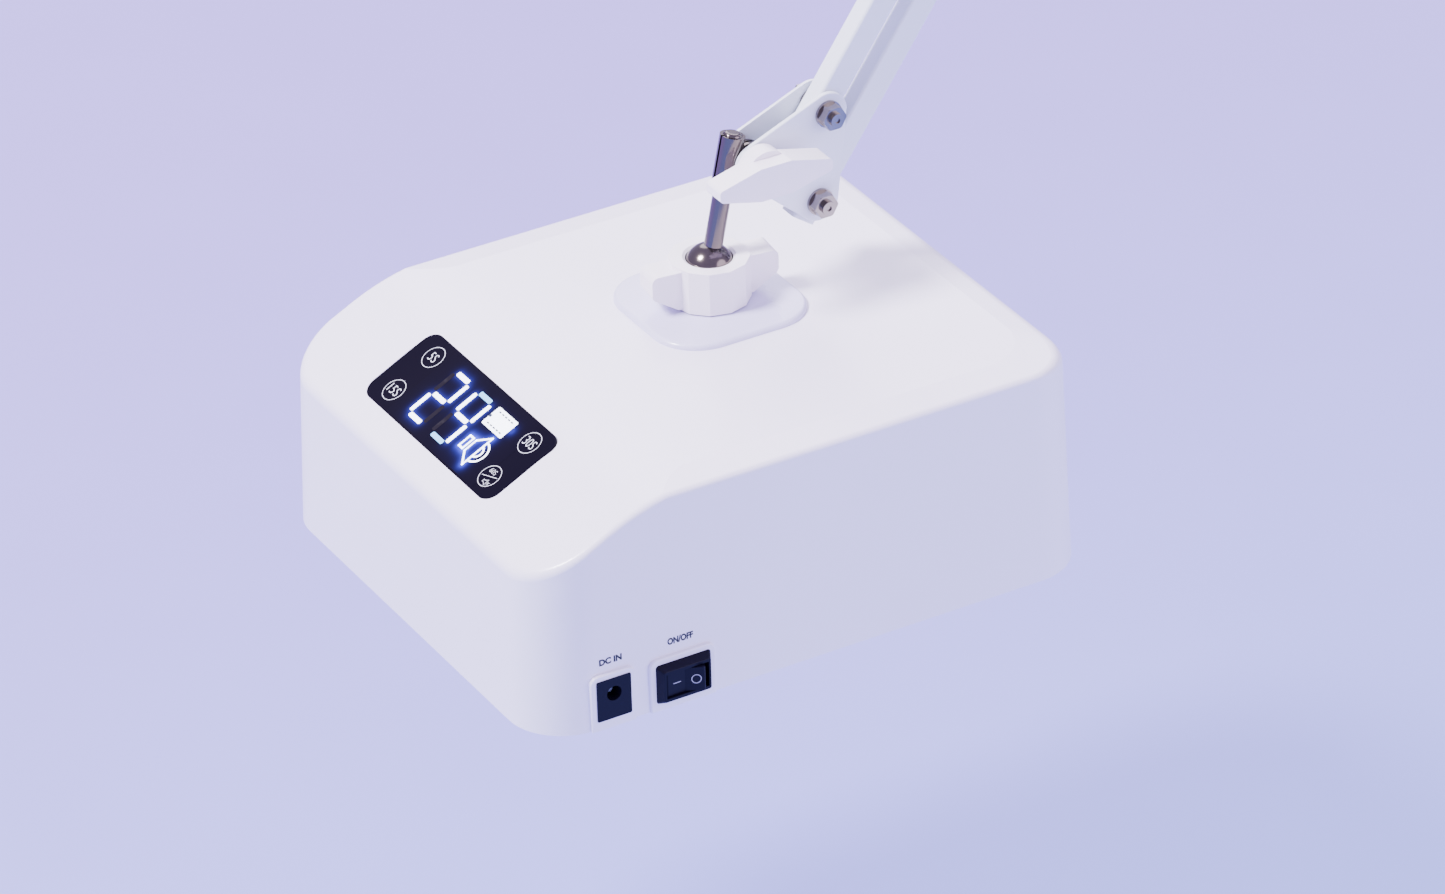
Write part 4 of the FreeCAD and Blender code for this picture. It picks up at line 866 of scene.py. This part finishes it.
# ---------------------------------------------------------------- springs
@dataclass
class SpringPair:
    """Two wound springs with hooks, beside one bar."""

    name: str
    node: str
    joint: str
    ear: Point2
    pins: str
    bodies: tuple[str, str]
    side: float = 12.0 * MM
    coil_radius: float = 3.85 * MM
    wire_radius: float = 0.6 * MM
    tail: float = 14.0 * MM
    pin_radius: float = 1.5 * MM
    pitch: float = 2.25
    section_points: int = 8
    steps_per_turn: int = 14

    def ends(self) -> tuple[Vector, Vector]:
        """The ear on the bracket and the pin on the bar, in the arm's plane."""
        pivot = joint_place(self.joint)
        pin = centre_of(self.pins)
        ear = pivot + Vector((0, self.ear[0], self.ear[1]))
        return ear, Vector((pivot.x, pin.y, pin.z))

    def add_wire(self, mesh: bmesh.types.BMesh, centre: Vector, turns: float, rise: float, radius: float,
                 axis: Vector, start: Vector) -> None:
        """Wind a round wire by spinning its section.

        Args:
            mesh: where to add it.
            centre: a point on the spin's axis.
            turns: number of turns, signed.
            rise: movement along the axis over all turns.
            radius: from the axis to the wire's middle.
            axis: direction of the axis.
            start: unit direction from the axis to the first section.
        """
        tangent = axis.cross(start)
        across = Matrix((start, axis, tangent)).transposed().to_4x4()
        place = Matrix.Translation(centre + start * radius) @ across
        made = bmesh.ops.create_circle(mesh, cap_ends=False, segments=self.section_points,
                                       radius=self.wire_radius, matrix=place)
        edges = list({e for v in made["verts"] for e in v.link_edges})
        steps = max(3, round(abs(turns) * self.steps_per_turn))
        bmesh.ops.spin(mesh, geom=[*made["verts"], *edges], cent=centre, axis=axis,
                       dvec=axis * (rise / steps), angle=turns * 2 * math.pi, steps=steps, use_merge=False)

    def build(self, wardrobe: Wardrobe) -> None:
        """Wind both springs and hook them on."""
        ear, pin = self.ends()
        along = (pin - ear).normalized()
        across = Vector((1, 0, 0))
        out = along.cross(across)
        length = (pin - ear).length - 2 * self.tail
        turns = round(length / (self.pitch * self.wire_radius))
        mesh = bmesh.new()
        for sign in (-1, 1):
            a = ear + across * (self.side * sign)
            b = pin + across * (self.side * sign)
            self.add_wire(mesh, a + along * self.tail, turns, length, self.coil_radius, along, out)
            for spot, inward in ((a, along), (b, -along)):
                self.add_hook(mesh, spot, inward, out, across)
        bmesh.ops.recalc_face_normals(mesh, faces=mesh.faces)
        springs = piece_from(self.name, mesh)
        wardrobe.put_on(springs, Look.STEEL)
        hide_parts(self.node)
        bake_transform(springs)
        log.info(self.name)

    def add_hook(self, mesh: bmesh.types.BMesh, spot: Vector, inward: Vector, out: Vector,
                 across: Vector) -> None:
        """Add a hook round a pin and the straight tail that joins it to the coil.

        Args:
            mesh: where to add it.
            spot: middle of the pin, beside the bar.
            inward: unit direction to the coil.
            out: unit direction of the hook's opening.
            across: unit direction of the pin.
        """
        grip = self.pin_radius + self.wire_radius * 1.2
        turn = 1 if inward.cross(out).dot(across) > 0 else -1
        self.add_wire(mesh, spot, -turn * 0.75, 0.0, grip, across, out)
        reach = self.tail - grip * 0.2
        start = spot + out * grip
        tail = bmesh.ops.create_cone(mesh, cap_ends=True, segments=self.section_points, depth=reach,
                                     radius1=self.wire_radius, radius2=self.wire_radius)
        whole = inward * reach + out * (self.coil_radius - grip)
        turned = whole.to_track_quat("Z", "Y").to_matrix().to_4x4()
        bmesh.ops.transform(mesh, matrix=Matrix.Translation(start + whole / 2) @ turned, verts=tail["verts"])


# ---------------------------------------------------------------- studio
@dataclass(frozen=True)
class SoftLight:
    """One large soft light, placed from its aim to the camera's right, up and towards the camera."""

    name: str
    right: float
    up: float
    near: float
    size: float
    power: float
    colour: Colour


SOFT_LIGHTS = (
    SoftLight("key_light", -1.25, 1.7, 0.35, 0.6, 150.0, (0.97, 0.95, 1.0)),
    SoftLight("fill_light", 1.9, 0.7, 0.9, 2.0, 44.0, (0.90, 0.80, 1.0)),
    SoftLight("back_light", 0.0, 1.3, -1.6, 1.6, 34.0, (0.92, 0.90, 1.0)),
)


@dataclass
class Studio:
    """Floor, lights and camera."""

    floor_size: float = 14.0
    floor_gap: float = 0.004
    floor_light: float = 1.9
    near_colour: Colour = (0.28, 0.38, 1.0)
    far_colour: Colour = (0.43, 0.26, 0.82)
    change_from: float = -0.55
    change_to: float = 0.85
    change_slant: float = 0.55
    surround_colour: Colour = (0.69, 0.60, 1.0)
    surround_strength: float = 1.28
    camera_offset: tuple[float, float, float] = (1.9034, -1.0548, 1.3273)
    azimuth: float = math.radians(60.64)
    elevation: float = math.radians(30.72)
    roll: float = math.radians(-1.71)
    lens: float = 184.1

    def axes(self) -> tuple[Vector, Vector, Vector]:
        """Right, up and backward directions of the camera."""
        az, el = self.azimuth, self.elevation
        back = Vector((math.sin(az) * math.cos(el), -math.cos(az) * math.cos(el), math.sin(el)))
        right = Vector((math.cos(az), math.sin(az), 0))
        up = back.cross(right)
        turned_right = right * math.cos(self.roll) + up * math.sin(self.roll)
        turned_up = up * math.cos(self.roll) - right * math.sin(self.roll)
        return turned_right, turned_up, back

    def camera(self, lamp_middle: Vector) -> None:
        """Make the camera.

        Args:
            lamp_middle: middle of the lamp's footprint, which the offset starts from.
        """
        data = bpy.data.cameras.new("camera")
        data.sensor_width = 36.0
        data.lens = self.lens
        data.clip_end = 60.0
        made = bpy.data.objects.new("camera", data)
        bpy.context.scene.collection.objects.link(made)
        right, up, back = self.axes()
        turn = Matrix((right, up, back)).transposed().to_4x4()
        made.matrix_world = Matrix.Translation(lamp_middle + Vector(self.camera_offset)) @ turn
        bpy.context.scene.camera = made

    def lights(self, aim: Vector) -> None:
        """Make the lights, aimed at one point, and the even surrounding light."""
        right, _, back = self.axes()
        level_back = Vector((back.x, back.y, 0)).normalized()
        for light in SOFT_LIGHTS:
            data = bpy.data.lights.new(light.name, "AREA")
            data.shape = "DISK"
            data.size = light.size
            data.energy = light.power
            data.color = light.colour
            made = bpy.data.objects.new(light.name, data)
            bpy.context.scene.collection.objects.link(made)
            spot = aim + Vector((0, 0, light.up)) + right * light.right + level_back * light.near
            turn = (spot - aim).to_track_quat("Z", "Y").to_matrix().to_4x4()
            made.matrix_world = Matrix.Translation(spot) @ turn
        world = bpy.data.worlds.new("surround")
        world.use_nodes = True
        shade = world.node_tree.nodes["Background"]
        shade.inputs["Color"].default_value = (*self.surround_colour, 1.0)
        shade.inputs["Strength"].default_value = self.surround_strength
        bpy.context.scene.world = world

    def floor(self, wardrobe: Wardrobe) -> None:
        """Make the plain pale floor, lilac far away and pale blue near by.

        Args:
            wardrobe: gives the shared effects.
        """
        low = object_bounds()[0]
        mesh = bmesh.new()
        bmesh.ops.create_grid(mesh, x_segments=1, y_segments=1, size=self.floor_size / 2)
        bmesh.ops.translate(mesh, vec=(0, 0, low.z - self.floor_gap), verts=mesh.verts)
        made = piece_from("floor", mesh)
        made.data.materials.append(self.floor_material(wardrobe))
        made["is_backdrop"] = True

    def floor_material(self, wardrobe: Wardrobe) -> bpy.types.Material:
        """Matte pale material that changes evenly across the floor and is clear from below.

        Args:
            wardrobe: gives the shared effects.

        Returns:
            The material.
        """
        look = Finish("floor_paper", (0.12, 0.13, 0.34), 0.85, grain=Grain.PAINTED, dust=0.0, specular=0.1)
        made = look.material(wardrobe.effects)
        tree = made.node_tree
        shader = tree.nodes["Principled BSDF"]
        place = tree.nodes.new("ShaderNodeTexCoord")
        right, _, back = self.axes()
        dot = tree.nodes.new("ShaderNodeVectorMath")
        dot.operation = "DOT_PRODUCT"
        slant = Vector((-back.x, -back.y, 0)).normalized() - Vector((right.x, right.y, 0)) * self.change_slant
        dot.inputs[1].default_value = slant
        tree.links.new(place.outputs["Object"], dot.inputs[0])
        share = tree.nodes.new("ShaderNodeMapRange")
        share.inputs["From Min"].default_value = self.change_from
        share.inputs["From Max"].default_value = self.change_to
        share.interpolation_type = "SMOOTHSTEP"
        tree.links.new(dot.outputs["Value"], share.inputs["Value"])
        mix = tree.nodes.new("ShaderNodeMix")
        mix.data_type = "RGBA"
        mix.inputs["A"].default_value = (*self.near_colour, 1.0)
        mix.inputs["B"].default_value = (*self.far_colour, 1.0)
        tree.links.new(share.outputs["Result"], mix.inputs["Factor"])
        tree.links.new(mix.outputs["Result"], shader.inputs["Emission Color"])
        shader.inputs["Emission Strength"].default_value = self.floor_light
        side = tree.nodes.new("ShaderNodeNewGeometry")
        clear = tree.nodes.new("ShaderNodeBsdfTransparent")
        either = tree.nodes.new("ShaderNodeMixShader")
        tree.links.new(side.outputs["Backfacing"], either.inputs["Fac"])
        tree.links.new(shader.outputs["BSDF"], either.inputs[1])
        tree.links.new(clear.outputs["BSDF"], either.inputs[2])
        tree.links.new(either.outputs["Shader"], tree.nodes["Material Output"].inputs["Surface"])
        return made


# ---------------------------------------------------------------- CAD nodes
NODE_LOOKS: dict[Look, tuple[str, ...]] = {
    Look.SHELL: ("housing",),
    Look.PLATE: ("mount_plate",),
    Look.PLASTIC: ("bottom_frame", "ball_hub", "ball_clamp_nut", "tilt_knob"),
    Look.PAINT: ("head_plate_left", "head_plate_right", "forearm_bar_upper", "forearm_bar_lower",
                 "rear_bar_front", "rear_bar_back", "elbow_plates", "base_plates", "clamp_frame"),
    Look.DARK_CHROME_AND_PAINTED_REFLECTION: ("ball_rod", "rod_clamp_left", "rod_clamp_right"),
    Look.NICKEL_AND_PAINTED_REFLECTION: ("housing_screws", "hub_nut", "tilt_spacers", "head_bolts", "head_nuts", "tilt_bolt",
                  "forearm_spring_pins", "rear_spring_pins", "elbow_bolts", "elbow_nuts", "base_bolts",
                  "base_nuts", "base_post", "post_rivets", "clamp_pad", "clamp_screw", "tommy_bar"),
    Look.STEEL: ("touch_springs", "forearm_springs", "rear_springs"),
    Look.GLASS: ("display_window",),
    Look.TRAY: ("reflector_tray",),
    Look.BOARD_WHITE: ("led_boards",),
    Look.LENS: ("led_beads",),
    Look.GREY: ("display_module",),
    Look.BOARD_GREEN: ("display_board", "protection_board", "control_board"),
    Look.SWITCH: ("switch_frame", "rocker", "dc_jack"),
    Look.BLACK: ("battery_holder", "buzzer", "socket_screw"),
    Look.WRAP: ("battery_cells",),
    Look.BRASS: ("switch_terminals", "board_standoffs"),
    Look.PIN: ("jack_pin",),
    Look.RUBBER: ("pad_rubber",),
    Look.BUSH: ("socket_bush",),
    Look.SEAT: ("ball_seat",),
}


def dress_nodes(wardrobe: Wardrobe) -> None:
    """Give every CAD node its material and smooth shading.

    Args:
        wardrobe: gives the materials.
    """
    bare = set(frame["nodes"])
    for look, names in NODE_LOOKS.items():
        for name in names:
            node = frame["nodes"][name]
            wardrobe.put_on(node, look)
            smooth(node)
            bare.discard(name)
    if bare:
        raise ValueError(f"nodes without a material: {sorted(bare)}")
    log.info("dressed %d nodes", len(frame["nodes"]))


def main() -> None:
    """Build and dress everything in order."""
    logging.basicConfig(level=logging.INFO, format="%(message)s")
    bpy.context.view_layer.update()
    wardrobe = Wardrobe()
    dress_nodes(wardrobe)
    shell = LampShell()
    shell.build(wardrobe)
    DisplayWindow().build(wardrobe)
    PowerSwitch().build(wardrobe)
    SpringPair("forearm_spring_coils", "forearm_springs", "forearm", (-9.0 * MM, 15.0 * MM),
               "forearm_spring_pins", ("elbow", "forearm_upper")).build(wardrobe)
    SpringPair("rear_spring_coils", "rear_springs", "rear_arm", (-14.0 * MM, 6.0 * MM),
               "rear_spring_pins", ("base_bracket", "rear_front")).build(wardrobe)
    studio = Studio()
    studio.camera(shell.middle())
    studio.lights(centre_of("housing"))
    studio.floor(wardrobe)


if __name__ == "__main__":
    main()
